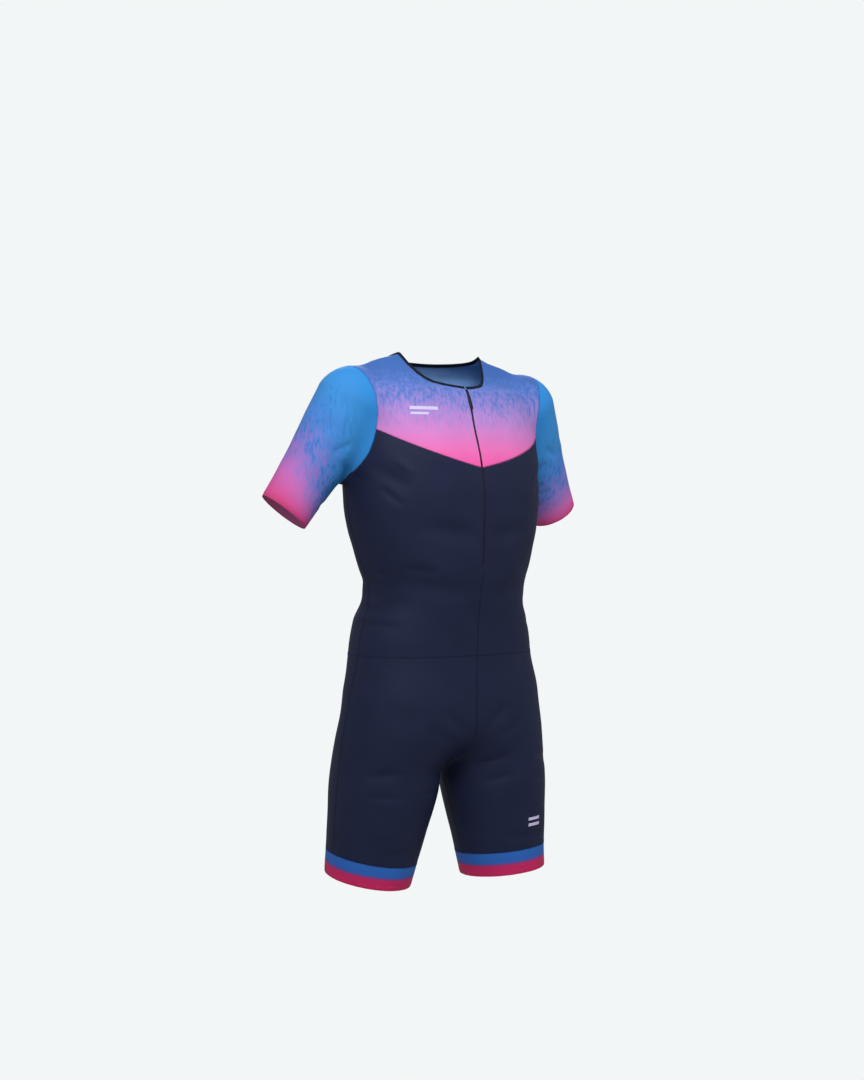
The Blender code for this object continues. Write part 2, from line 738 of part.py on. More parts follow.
def combine(item, name, mesh, operation):
    """Join a second mesh to an object, or cut it out, through a hidden helper."""
    helper = bpy.data.objects.new(name, mesh)
    helper.hide_render = True
    helper.display_type = "WIRE"
    bpy.context.collection.objects.link(helper)
    helper.parent = item
    modifier = item.modifiers.new(name, "BOOLEAN")
    modifier.operation = operation
    modifier.solver = "EXACT"
    modifier.object = helper


def rounded_outline(half_width, low, high, radius):
    """An upright rectangle with round corners, as points round its edge."""
    corners = (
        (half_width - radius, high - radius, 0),
        (radius - half_width, high - radius, 90),
        (radius - half_width, low + radius, 180),
        (half_width - radius, low + radius, 270),
    )
    points = []
    for u, v, start in corners:
        for i in range(CORNER_STEPS + 1):
            turn = math.radians(start + 90 * i / CORNER_STEPS)
            points.append((u + radius * math.cos(turn), v + radius * math.sin(turn)))
    return points


# ---------------------------------------------------------------- binding and zip


def neck_binding(finish):
    """The binding that stands on the neck edge, from one side of the zip round to the other."""
    angles = np.concatenate(
        (
            np.linspace(0, 90, YOKE_STEPS_NECK + 1),
            np.linspace(90, 180, YOKE_STEPS_NECK + 1)[1:],
        )
    )
    base = np.concatenate((neck_points(RIGHT, angles), neck_points(LEFT, angles[-2::-1])))
    along = unit(np.gradient(base, axis=0))
    normal = outward(base)
    up = np.cross(normal, along)
    up *= np.sign(up[:, 2:3])
    upright = unit(up + np.array((0, 0, BINDING_UPRIGHT)))
    foot = base + up * SEAM_GAP / 2
    top = base + upright * BINDING_HEIGHT
    face, quads = one_piece(np.array((foot, top)))
    normals = np.concatenate((normal, normal))
    outer = face + normals * BINDING_OUT
    inner = face - normals * BINDING_IN
    add_object("neck_binding", wall_mesh("neck_binding", outer, inner, quads), finish)


def zip_edges(side):
    """The front edge's points from the neck down, and points beside them under the cloth."""
    yoke = yoke_grid(side, FRONT)[: YOKE_STEPS_CENTRE + 1][::-1]
    body = body_grid(side, FRONT)[1 : ZIP_STEPS_BODY + 2]
    rows = np.concatenate((yoke[:, :2], body[:, :2]))
    rows[-1] = (rows[-2] + rows[-1]) / 2
    width = np.linalg.norm(rows[:, 1] - rows[:, 0], axis=-1, keepdims=True)
    beside = rows[:, 0] + (rows[:, 1] - rows[:, 0]) * (TAPE_HALF_WIDTH - ZIP_HALF_GAP) / width
    return rows[:, 0], beside


def zip_tape(finish):
    """The zip's tape, behind the two front edges."""
    right_edge, right_beside = zip_edges(RIGHT)
    left_edge, left_beside = zip_edges(LEFT)
    columns = (right_beside, right_edge, left_edge, left_beside)
    face, quads = one_piece(np.stack(columns, axis=1))
    normal = outward(face)
    outer = face - normal * TAPE_DEPTH
    inner = outer - normal * TAPE_THICKNESS
    add_object("zip_tape", wall_mesh("zip_tape", outer, inner, quads), finish)


def slider_frame():
    """Where the slider sits on the zip line, and how far it leans about X."""
    edges = (zip_edges(RIGHT)[0] + zip_edges(LEFT)[0]) / 2
    down = unit(edges[1] - edges[0])
    return edges[0] + down * SLIDER_DROP, math.atan2(down[1], -down[2])


def zip_slider(place, lean, finish):
    """The slider's body between the front edges, with the bridge that holds the tab."""
    half = SLIDER_LENGTH / 2
    outline = rounded_outline(SLIDER_WIDTH / 2, -half, half, SLIDER_CORNER)
    body = prism_mesh("zip_slider", outline, -SLIDER_TOP, SLIDER_BASE, 1)
    item = add_object("zip_slider", body, finish)
    reach = BRIDGE_LENGTH / 2
    foot = -SLIDER_TOP + BRIDGE_BAR / 2
    top = -SLIDER_TOP - BRIDGE_RISE
    arch = (
        (foot, -reach),
        (top, -reach),
        (top, reach),
        (foot, reach),
        (foot, reach - BRIDGE_BAR),
        (top + BRIDGE_BAR, reach - BRIDGE_BAR),
        (top + BRIDGE_BAR, BRIDGE_BAR - reach),
        (foot, BRIDGE_BAR - reach),
    )
    bridge = prism_mesh("slider_bridge", arch, -BRIDGE_WIDTH / 2, BRIDGE_WIDTH / 2, 0)
    combine(item, "slider_bridge", bridge, "UNION")
    item.location = place
    item.rotation_euler = (lean, 0, 0)


def zip_pull_tab(place, lean, finish):
    """The pull tab, hung by its eye on the slider's bridge, with its origin on the hinge."""
    height = SLIDER_TOP + (BRIDGE_RISE - BRIDGE_BAR) / 2
    outward_way = np.array((0.0, -math.cos(lean), -math.sin(lean)))
    half = TAB_THICKNESS / 2
    outline = rounded_outline(TAB_WIDTH / 2, -TAB_LENGTH, TAB_EYE_START, TAB_CORNER)
    item = add_object("zip_pull_tab", prism_mesh("zip_pull_tab", outline, -half, half, 1), finish)
    eye = (
        (TAB_EYE_WIDTH / 2, -TAB_EYE_START),
        (TAB_EYE_WIDTH / 2, -TAB_EYE_END),
        (-TAB_EYE_WIDTH / 2, -TAB_EYE_END),
        (-TAB_EYE_WIDTH / 2, -TAB_EYE_START),
    )
    combine(item, "tab_eye", prism_mesh("tab_eye", eye, -2 * half, 2 * half, 1), "DIFFERENCE")
    item.location = np.array(place) + outward_way * height
    item.rotation_euler = (lean + math.radians(TAB_LEAN), 0, 0)


# ---------------------------------------------------------------- the suit


def build_suit():
    """Make every piece of the suit."""
    clear_scene()
    navy = finish_material(NAVY_LYCRA)
    print_cloth = finish_material(PRINTED_LYCRA)
    sleeve = finish_material(PRINTED_SLEEVE)
    band = finish_material(BAND_ELASTIC)
    for side in (RIGHT, LEFT):
        name = SIDE_NAMES[side]
        cloth_wall(f"yoke_front_{name}", one_piece(yoke_grid(side, FRONT)), print_cloth)
        cloth_wall(f"body_front_{name}", one_piece(body_grid(side, FRONT)), navy)
        cloth_wall(f"short_front_{name}", one_piece(shorts_grid(side, FRONT)), navy)
        cloth_wall(f"short_back_{name}", one_piece(shorts_grid(side, BACK)), navy)
        cloth_wall(f"leg_band_{name}", one_piece(band_grid(side), closed=True), band)
        cloth_wall(f"sleeve_{name}", one_piece(sleeve_grid(side), closed=True), sleeve)
    cloth_wall("yoke_back", both_halves(yoke_grid, YOKE_STEPS_CENTRE + 1), print_cloth)
    cloth_wall("body_back", both_halves(body_grid, ARMHOLE_STEPS_BODY + SIDE_STEPS + 1), navy)
    neck_binding(finish_material(BINDING_ELASTIC))
    zip_tape(finish_material(TAPE_POLYESTER))
    place, lean = slider_frame()
    zip_slider(place, lean, finish_material(SLIDER_LACQUER))
    zip_pull_tab(place, lean, finish_material(TAB_RUBBER))


if __name__ == "__main__":
    build_suit()
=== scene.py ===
"""Looks of a short-sleeved triathlon suit in its worn shape: printed and navy knit, bands and zip.

Units are metres, +Z is up and the suit's front faces -Y. Each cloth piece is a thin shell on the
form of its solid, cut finer and pressed with small creases, and takes the solid's place.
"""

from __future__ import annotations

import logging
import math
from dataclasses import dataclass, field
from enum import Enum
from typing import Callable, Optional, Sequence

import bmesh
import bpy
import numpy as np
from mathutils import Matrix, Vector


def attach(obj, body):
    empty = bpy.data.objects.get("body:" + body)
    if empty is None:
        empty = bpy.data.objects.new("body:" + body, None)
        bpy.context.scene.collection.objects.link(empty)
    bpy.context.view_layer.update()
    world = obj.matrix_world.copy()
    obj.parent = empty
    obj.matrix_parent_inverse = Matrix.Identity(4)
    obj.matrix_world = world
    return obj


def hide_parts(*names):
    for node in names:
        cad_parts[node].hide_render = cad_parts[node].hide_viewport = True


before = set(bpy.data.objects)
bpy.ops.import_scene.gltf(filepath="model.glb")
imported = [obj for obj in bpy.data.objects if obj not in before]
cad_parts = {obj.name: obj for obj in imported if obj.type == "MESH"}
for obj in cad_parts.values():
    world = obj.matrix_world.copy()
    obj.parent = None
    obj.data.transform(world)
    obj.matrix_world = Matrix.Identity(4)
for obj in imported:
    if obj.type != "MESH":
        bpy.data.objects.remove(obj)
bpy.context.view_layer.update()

LOG = logging.getLogger("triathlon_suit")
Array = np.ndarray
Limit = Callable[[Array], Array]
Object = bpy.types.Object
Socket = bpy.types.NodeSocket
Tree = bpy.types.NodeTree
MM = 0.001


class Direction(Enum):
    """A direction that the names of pieces tell."""

    @property
    def word(self) -> str:
        """The name used in piece names."""
        return self.name.lower()


class Side(Direction):
    """A side of the suit, as the sign of its X."""

    RIGHT = -1
    LEFT = 1


class Facing(Direction):
    """Front or back, as the sign of its Y."""

    FRONT = -1
    BACK = 1


class Zone(Enum):
    """The part of the form whose unrolled surface a crease is placed on."""

    TORSO = "torso"
    SLEEVE_RIGHT = "sleeve_right"
    SLEEVE_LEFT = "sleeve_left"
    LEG_RIGHT = "leg_right"
    LEG_LEFT = "leg_left"


# ---------------------------------------------------------------- form under the cloth


@dataclass(frozen=True)
class TorsoSection:
    """A level section of the torso, in millimetres."""

    height: float
    half_width: float
    front: float
    back: float
    squareness: float


@dataclass(frozen=True)
class TubeSection:
    """A round section of a limb at a distance along its axis, in millimetres."""

    distance: float
    radius: float


@dataclass(frozen=True)
class Limb:
    """A limb's axis: its start on the +X side and its lean outwards and backwards, in degrees."""

    start: tuple[float, float, float]
    out: float
    back: float

    def axis(self, side: Side) -> tuple[Array, Array]:
        """Where the axis starts and which way it runs.

        Args:
            side: The side of the suit.

        Returns:
            The start and the unit direction.
        """
        start = np.array(self.start) * (side.value, 1, 1)
        out = math.tan(math.radians(self.out))
        back = math.tan(math.radians(self.back))
        return start, unit(np.array((side.value * out, back, -1.0)))


@dataclass(frozen=True)
class Crease:
    """A soft trough, or a ridge if its depth is negative, between two points of a zone.

    A point is an angle in degrees and a height (torso) or a distance along the axis (limb) in
    metres. Width and depth are in millimetres.
    """

    zone: Zone
    angle_a: float
    place_a: float
    angle_b: float
    place_b: float
    width: float
    depth: float


TORSO_SECTIONS = tuple(
    TorsoSection(*row)
    for row in (
        (90, 58, 4, 46, 2.00),
        (45, 68, 5, 50, 2.00),
        (31, 92, 9, 62, 2.00),
        (17, 138, 18, 77, 2.03),
        (5, 156, 29, 86, 2.07),
        (-18, 168, 53, 92, 2.15),
        (-30, 173, 74, 97, 2.20),
        (-45, 177, 82, 104, 2.25),
        (-100, 181, 100, 112, 2.35),
        (-160, 183, 119, 114, 2.35),
        (-215, 181, 126, 111, 2.30),
        (-267, 174, 125, 102, 2.30),
        (-301, 165, 124, 90, 2.30),
        (-345, 153, 121, 80, 2.30),
        (-380, 147, 115, 90, 2.30),
        (-422, 158, 109, 118, 2.30),
        (-470, 167, 106, 119, 2.30),
        (-526, 167, 105, 98, 2.30),
        (-580, 168, 105, 88, 2.30),
        (-640, 175, 100, 96, 2.30),
        (-690, 178, 92, 96, 2.30),
    )
)
SLEEVE_SECTIONS = tuple(
    TubeSection(*row) for row in ((0, 66), (60, 59), (120, 51), (180, 46), (230, 43.5))
)
LEG_SECTIONS = tuple(
    TubeSection(*row)
    for row in ((-40, 82), (60, 88), (130, 92), (200, 85), (260, 77.5), (330, 70.5))
)
SLEEVE_LIMBS = {
    Side.RIGHT: Limb((0.174, 0.008, -0.060), 31.5, 12.0),
    Side.LEFT: Limb((0.173, 0.008, -0.052), 31.0, 12.0),
}
LEG_LIMBS = {
    Side.RIGHT: Limb((0.086, 0.008, -0.560), 7.6, 6.0),
    Side.LEFT: Limb((0.092, 0.004, -0.560), 4.0, -5.0),
}

# The folds that the solids have too
LARGE_FOLDS = tuple(
    Crease(Zone.TORSO, *row)
    for row in (
        (-52, -0.262, -2, -0.280, 15, 3.6),
        (4, -0.281, 46, -0.262, 15, 3.2),
        (-76, -0.346, -6, -0.372, 18, 3.8),
        (10, -0.374, 74, -0.350, 18, 3.4),
        (-118, -0.346, -62, -0.366, 12, 3.6),
        (-112, -0.404, -54, -0.390, 12, 3.0),
        (118, -0.348, 62, -0.368, 12, 3.6),
        (112, -0.406, 56, -0.392, 12, 3.0),
        (112, -0.350, 178, -0.378, 17, 4.2),
        (-114, -0.354, -178, -0.374, 17, 4.2),
        (126, -0.400, 176, -0.414, 14, 3.0),
        (-124, -0.404, -178, -0.412, 14, 3.0),
        (-76, -0.158, -52, -0.204, 12, 3.6),
        (76, -0.158, 52, -0.204, 12, 3.6),
    )
)

# Small creases: at the waist, by the armpits, inside the sleeves, at the crotch and on the seat
SMALL_CREASES = tuple(
    Crease(Zone.TORSO, *row)
    for row in (
        (-104, -0.372, -70, -0.377, 5, 1.1),
        (-98, -0.386, -74, -0.394, 4, -0.8),
        (-100, -0.420, -60, -0.428, 6, 1.0),
        (-88, -0.334, -66, -0.346, 5, 0.9),
        (-60, -0.330, -34, -0.338, 7, 0.8),
        (102, -0.374, 70, -0.380, 5, 1.1),
        (96, -0.388, 76, -0.394, 4, -0.8),
        (98, -0.420, 64, -0.426, 6, 0.9),
        (86, -0.336, 62, -0.344, 5, 0.9),
        (58, -0.326, 36, -0.334, 7, 0.7),
        (-70, -0.196, -56, -0.230, 5, 0.9),
        (-62, -0.150, -50, -0.180, 5, -0.7),
        (71, -0.194, 58, -0.226, 5, 0.9),
        (61, -0.152, 50, -0.184, 5, -0.6),
        (-34, -0.566, -10, -0.604, 8, 1.0),
        (32, -0.560, 12, -0.600, 8, 1.0),
        (-46, -0.590, -20, -0.626, 6, 0.8),
        (44, -0.588, 22, -0.622, 6, 0.8),
        (118, -0.376, 150, -0.390, 6, 1.1),
        (-120, -0.380, -148, -0.392, 6, 1.0),
        (140, -0.330, 170, -0.340, 8, 0.9),
        (-138, -0.332, -168, -0.342, 8, 0.9),
        (110, -0.200, 124, -0.160, 6, 1.0),
        (-112, -0.202, -126, -0.162, 6, 1.0),
        (150, -0.610, 170, -0.632, 7, 0.9),
        (-152, -0.612, -170, -0.634, 7, 0.8),
    )
) + tuple(
    Crease(zone, *row)
    for zone in (Zone.SLEEVE_RIGHT, Zone.SLEEVE_LEFT)
    for row in (
        (20, 0.108, 80, 0.092, 6, 1.3),
        (24, 0.128, 66, 0.134, 5, 0.9),
        (30, 0.150, 74, 0.146, 6, 0.8),
        (84, 0.060, 104, 0.096, 6, 0.9),
        (-22, 0.112, -70, 0.096, 6, 1.2),
        (-30, 0.134, -72, 0.140, 6, 0.9),
        (128, 0.050, 150, 0.084, 9, 0.7),
        (-120, 0.060, -148, 0.092, 9, 0.7),
        (10, 0.166, 48, 0.172, 5, 0.6),
    )
) + tuple(
    Crease(zone, *row)
    for zone in (Zone.LEG_RIGHT, Zone.LEG_LEFT)
    for row in (
        (34, 0.112, 78, 0.094, 7, 1.1),
        (40, 0.138, 82, 0.128, 6, 0.8),
        (146, 0.120, 104, 0.100, 7, 1.1),
        (138, 0.150, 100, 0.142, 6, 0.8),
        (60, 0.236, 112, 0.240, 6, 0.5),
        (-40, 0.238, -96, 0.242, 6, 0.5),
    )
)


def unit(vectors: Array) -> Array:
    """Vectors of length one."""
    return vectors / np.linalg.norm(vectors, axis=-1, keepdims=True)


def run_length(points: Array, axis: int = 0) -> Array:
    """How far it is from the first point to each, along one axis of a grid of points."""
    steps = np.linalg.norm(np.diff(points, axis=axis), axis=-1).cumsum(axis=axis)
    return np.insert(steps, 0, 0.0, axis=axis)


def closed_rings(rings: Array) -> Array:
    """Rings with their first point once more at their end."""
    return np.concatenate((rings, rings[:, :1]), axis=1)


def numbered(rows: int, columns: int) -> Array:
    """The indices of a grid's points."""
    return np.arange(rows * columns).reshape(rows, columns)


def blend(a: Array, b: Array, width: float) -> Array:
    """The smaller of two distances, rounded where they differ by less than a width."""
    share = np.maximum(width - np.abs(a - b), 0) / width
    return np.minimum(a, b) - share * share * width / 4


class SmoothCurve:
    """A smooth function through given values that never overshoots them."""

    FINENESS = 4000

    def __init__(self, places: Sequence[float], values: Sequence[float]) -> None:
        """Work the curve out as a dense table.

        Args:
            places: Where the values are given.
            values: The values.
        """
        order = np.argsort(places)
        x = np.asarray(places, float)[order]
        y = np.asarray(values, float)[order]
        step = np.diff(x)
        rise = np.diff(y) / step
        slope = np.concatenate(([rise[0]], np.zeros(len(x) - 2), [rise[-1]]))
        for i in range(1, len(x) - 1):
            if rise[i - 1] * rise[i] > 0:
                before = 2 * step[i] + step[i - 1]
                after = step[i] + 2 * step[i - 1]
                slope[i] = (before + after) / (before / rise[i - 1] + after / rise[i])
        self.places = np.linspace(x[0], x[-1], self.FINENESS)
        i = np.clip(np.searchsorted(x, self.places, side="right") - 1, 0, len(x) - 2)
        t = (self.places - x[i]) / step[i]
        start = (1 + 2 * t) * (1 - t) ** 2 * y[i] + t * (1 - t) ** 2 * step[i] * slope[i]
        end = t * t * (3 - 2 * t) * y[i + 1] - t * t * (1 - t) * step[i] * slope[i + 1]
        self.values = start + end

    def __call__(self, at: Array) -> Array:
        """The curve's values at the given places."""
        return np.interp(at, self.places, self.values)


def section_curve(sections: Sequence, place: str, value: str, scale: float = MM) -> SmoothCurve:
    """A smooth curve of one column of a table of sections over another, which gives the place."""
    places = [getattr(row, place) * MM for row in sections]
    return SmoothCurve(places, [getattr(row, value) * scale for row in sections])


@dataclass
class BodyForm:
    """The smooth closed form that the cloth lies on: a torso, two sleeves and two legs."""

    seat_height: float = -0.640
    seat_rounding: float = 0.060
    torso_core: float = 0.3
    leg_depth_ratio: float = 1.07
    leg_blend: float = 0.030
    hip_blend: float = 0.050
    shoulder_blend: float = 0.022
    fold_radius: float = 0.150
    limb_fold_radius: dict = field(default_factory=lambda: {"sleeve": 0.052, "leg": 0.086})
    limb_reach: float = 0.030
    slope_step: float = 0.5 * MM
    ray_start: float = 0.004
    ray_step: float = 0.012
    ray_length: float = 0.400
    fold_allowance: float = 0.008
    halvings: int = 13
    sweep_steps: int = 32

    def __post_init__(self) -> None:
        """Work out the section curves."""
        self.half_width, self.front, self.back = (
            section_curve(TORSO_SECTIONS, "height", name)
            for name in ("half_width", "front", "back")
        )
        self.squareness = section_curve(TORSO_SECTIONS, "height", "squareness", 1.0)
        self.sleeve_radius = section_curve(SLEEVE_SECTIONS, "distance", "radius")
        self.leg_radius = section_curve(LEG_SECTIONS, "distance", "radius")

    def torso_distance(self, points: Array) -> Array:
        """How far points lie outside the torso, measured level.

        Args:
            points: The points.

        Returns:
            The distances, negative inside.
        """
        x, y, z = points[..., 0], points[..., 1], points[..., 2]
        half_width = self.half_width(z)
        depth = np.where(y < 0, self.front(z), self.back(z))
        power = self.squareness(z)
        size = (np.abs(x / half_width) ** power + np.abs(y / depth) ** power) ** (1 / power)
        core = self.torso_core
        level = np.where(
            size < core,
            (core - 1) * np.minimum(half_width, depth),
            np.hypot(x, y) * (1 - 1 / np.maximum(size, core)),
        )
        return -blend(-level, z - self.seat_height, self.seat_rounding)

    @staticmethod
    def tube_distance(
        points: Array, limb: Limb, side: Side, radius: SmoothCurve, depth_ratio: float = 1.0
    ) -> Array:
        """How far points lie outside a tapered tube round a limb's axis.

        Args:
            points: The points.
            limb: The limb.
            side: The limb's side.
            radius: The radius by the distance along the axis.
            depth_ratio: How much deeper than wide the tube is.

        Returns:
            The distances, negative inside.
        """
        start, direction = limb.axis(side)
        offset = points - start
        along = offset @ direction
        across = (offset - np.maximum(along, 0)[..., None] * direction) / (1, depth_ratio, 1)
        return np.linalg.norm(across, axis=-1) - radius(along)

    def leg_distance(self, points: Array, side: Side) -> Array:
        """How far points lie outside a leg."""
        limb = LEG_LIMBS[side]
        return self.tube_distance(points, limb, side, self.leg_radius, self.leg_depth_ratio)

    def plain_distance(self, points: Array) -> Array:
        """How far points lie outside the form without its folds.

        Args:
            points: The points.

        Returns:
            Distance-like values, negative inside.
        """
        legs = [self.leg_distance(points, side) for side in Side]
        form = blend(self.torso_distance(points), blend(*legs, self.leg_blend), self.hip_blend)
        for side in Side:
            sleeve = self.tube_distance(points, SLEEVE_LIMBS[side], side, self.sleeve_radius)
            form = blend(form, sleeve, self.shoulder_blend)
        return form

    def distance(self, points: Array) -> Array:
        """Distance-like values of the form with its large folds: zero on its face."""
        return self.plain_distance(points) + self.crease_depth(points, LARGE_FOLDS)

    def zone_place(self, points: Array, zone: Zone) -> tuple[Array, Array, Array]:
        """Points on a zone's unrolled surface.

        Args:
            points: The points.
            zone: The zone.

        Returns:
            Angles in radians, places along the zone, and how much each point belongs to it.
        """
        if zone is Zone.TORSO:
            angle = np.arctan2(points[..., 0], -points[..., 1])
            return angle, points[..., 2], np.ones(angle.shape)
        kind, word = zone.value.split("_")
        side = Side[word.upper()]
        limb = SLEEVE_LIMBS[side] if kind == "sleeve" else LEG_LIMBS[side]
        start, direction = limb.axis(side)
        inner = unit(np.array((-side.value, 0.0, 0.0)) + side.value * direction[0] * direction)
        forward = -side.value * np.cross(direction, inner)
        offset = points - start
        angle = np.arctan2(offset @ forward, offset @ inner)
        if kind == "sleeve":
            away = self.tube_distance(points, limb, side, self.sleeve_radius)
        else:
            away = self.leg_distance(points, side)
        share = np.exp(-((np.maximum(away, 0) / self.limb_reach) ** 2))
        share *= points[..., 0] * side.value > 0
        return angle, offset @ direction, share

    def crease_depth(self, points: Array, creases: Sequence[Crease]) -> Array:
        """How deep creases press the cloth in, as the sum of soft troughs.

        Args:
            points: The points.
            creases: The creases.

        Returns:
            The depth at each point, in metres.
        """
        depth = np.zeros(points.shape[:-1])
        for zone in Zone:
            rows = [crease for crease in creases if crease.zone is zone]
            if not rows:
                continue
            angle, place, share = self.zone_place(points, zone)
            radius = self.limb_fold_radius.get(zone.value.split("_")[0], self.fold_radius)
            for row in rows:
                ends = np.radians((row.angle_a, row.angle_b)) * radius
                run = np.array((ends[1] - ends[0], row.place_b - row.place_a))
                middle = math.radians((row.angle_a + row.angle_b) / 2)
                turned = (angle - middle + math.pi) % (2 * math.pi) - math.pi + middle
                u = turned * radius - ends[0]
                v = place - row.place_a
                t = np.clip((u * run[0] + v * run[1]) / (run @ run), 0, 1)
                away = (u - t * run[0]) ** 2 + (v - t * run[1]) ** 2
                swell = 4 * t * (1 - t) * np.exp(-away / (row.width * MM) ** 2)
                depth += row.depth * MM * swell * share
        return depth

    def outward(self, points: Array) -> Array:
        """Which way is out of the form.

        Args:
            points: Points on the form.

        Returns:
            The unit normal at each point.
        """
        steps = np.eye(3) * self.slope_step
        slopes = [self.distance(points + step) - self.distance(points - step) for step in steps]
        return unit(np.stack(slopes, -1))

    def cast(self, origins: Array, directions: Array, limit: Optional[Limit] = None) -> Array:
        """Where rays from inside the form first leave it.

        Args:
            origins: Where the rays start.
            directions: Which way they run. Either may be given once for all rays.
            limit: A further bound, which a ray has left where this turns positive.

        Returns:
            The points where the rays leave.
        """
        origins, directions = np.broadcast_arrays(origins, unit(np.asarray(directions, float)))
        shape = directions.shape
        origins, directions = origins.reshape(-1, 3), directions.reshape(-1, 3)

        def beyond(points: Array, measure: Callable[[Array], Array]) -> Array:
            """Whether points are out of the form or past the limit."""
            out = measure(points) > 0
            return out if limit is None else out | (limit(points) > 0)

        inside = np.full(len(origins), self.ray_start)
        going = np.arange(len(origins))
        for reach in np.arange(self.ray_start + self.ray_step, self.ray_length, self.ray_step):
            gone = beyond(origins[going] + reach * directions[going], self.plain_distance)
            going = going[~gone]
            if not going.size:
                break
            inside[going] = reach
        outside = inside + self.ray_step
        inside = np.maximum(inside - self.fold_allowance, 0)
        for _ in range(self.halvings):
            middle = (inside + outside) / 2
            is_out = beyond(origins + middle[:, None] * directions, self.distance)
            outside = np.where(is_out, middle, outside)
            inside = np.where(is_out, inside, middle)
        leave = origins + ((inside + outside) / 2)[:, None] * directions
        return leave.reshape(shape)

    def sweep(
        self,
        origins: Array,
        starts: Array,
        ends: Array,
        steps: int,
        hints: Array | float = 0.0,
        limit: Optional[Limit] = None,
    ) -> Array:
        """Rows of evenly spaced points on the form, each from start to end.

        Args:
            origins: Where each row's rays start.
            starts: The first point of each row.
            ends: The last point of each row.
            steps: How many steps a row has.
            hints: What turns the middle of a row's sweep, for a row that goes far round.
            limit: A bound for the rays, as cast takes it.

        Returns:
            The rows.
        """
        first = unit(starts - origins)
        last = unit(ends - origins)
        middle = unit(first + last + hints)

        def directions(t: Array) -> Array:
            """Which way rays run within each row's sweep.

            Args:
                t: Shares of the sweep.

            Returns:
                The directions.
            """
            t = t[..., None]
            arc = (1 - t) ** 2 * first[:, None] + 2 * t * (1 - t) * middle[:, None]
            return arc + t * t * last[:, None]

        shares = np.linspace(0, 1, self.sweep_steps)
        path = self.cast(origins[:, None], directions(shares[None]), limit)
        even = [
            np.interp(np.linspace(0, length[-1], steps + 1), length, shares)
            for length in run_length(path, 1)
        ]
        rows = self.cast(origins[:, None], directions(np.array(even)), limit)
        rows[:, 0] = starts
        rows[:, -1] = ends
        return rows


# ---------------------------------------------------------------- seams and cut pieces


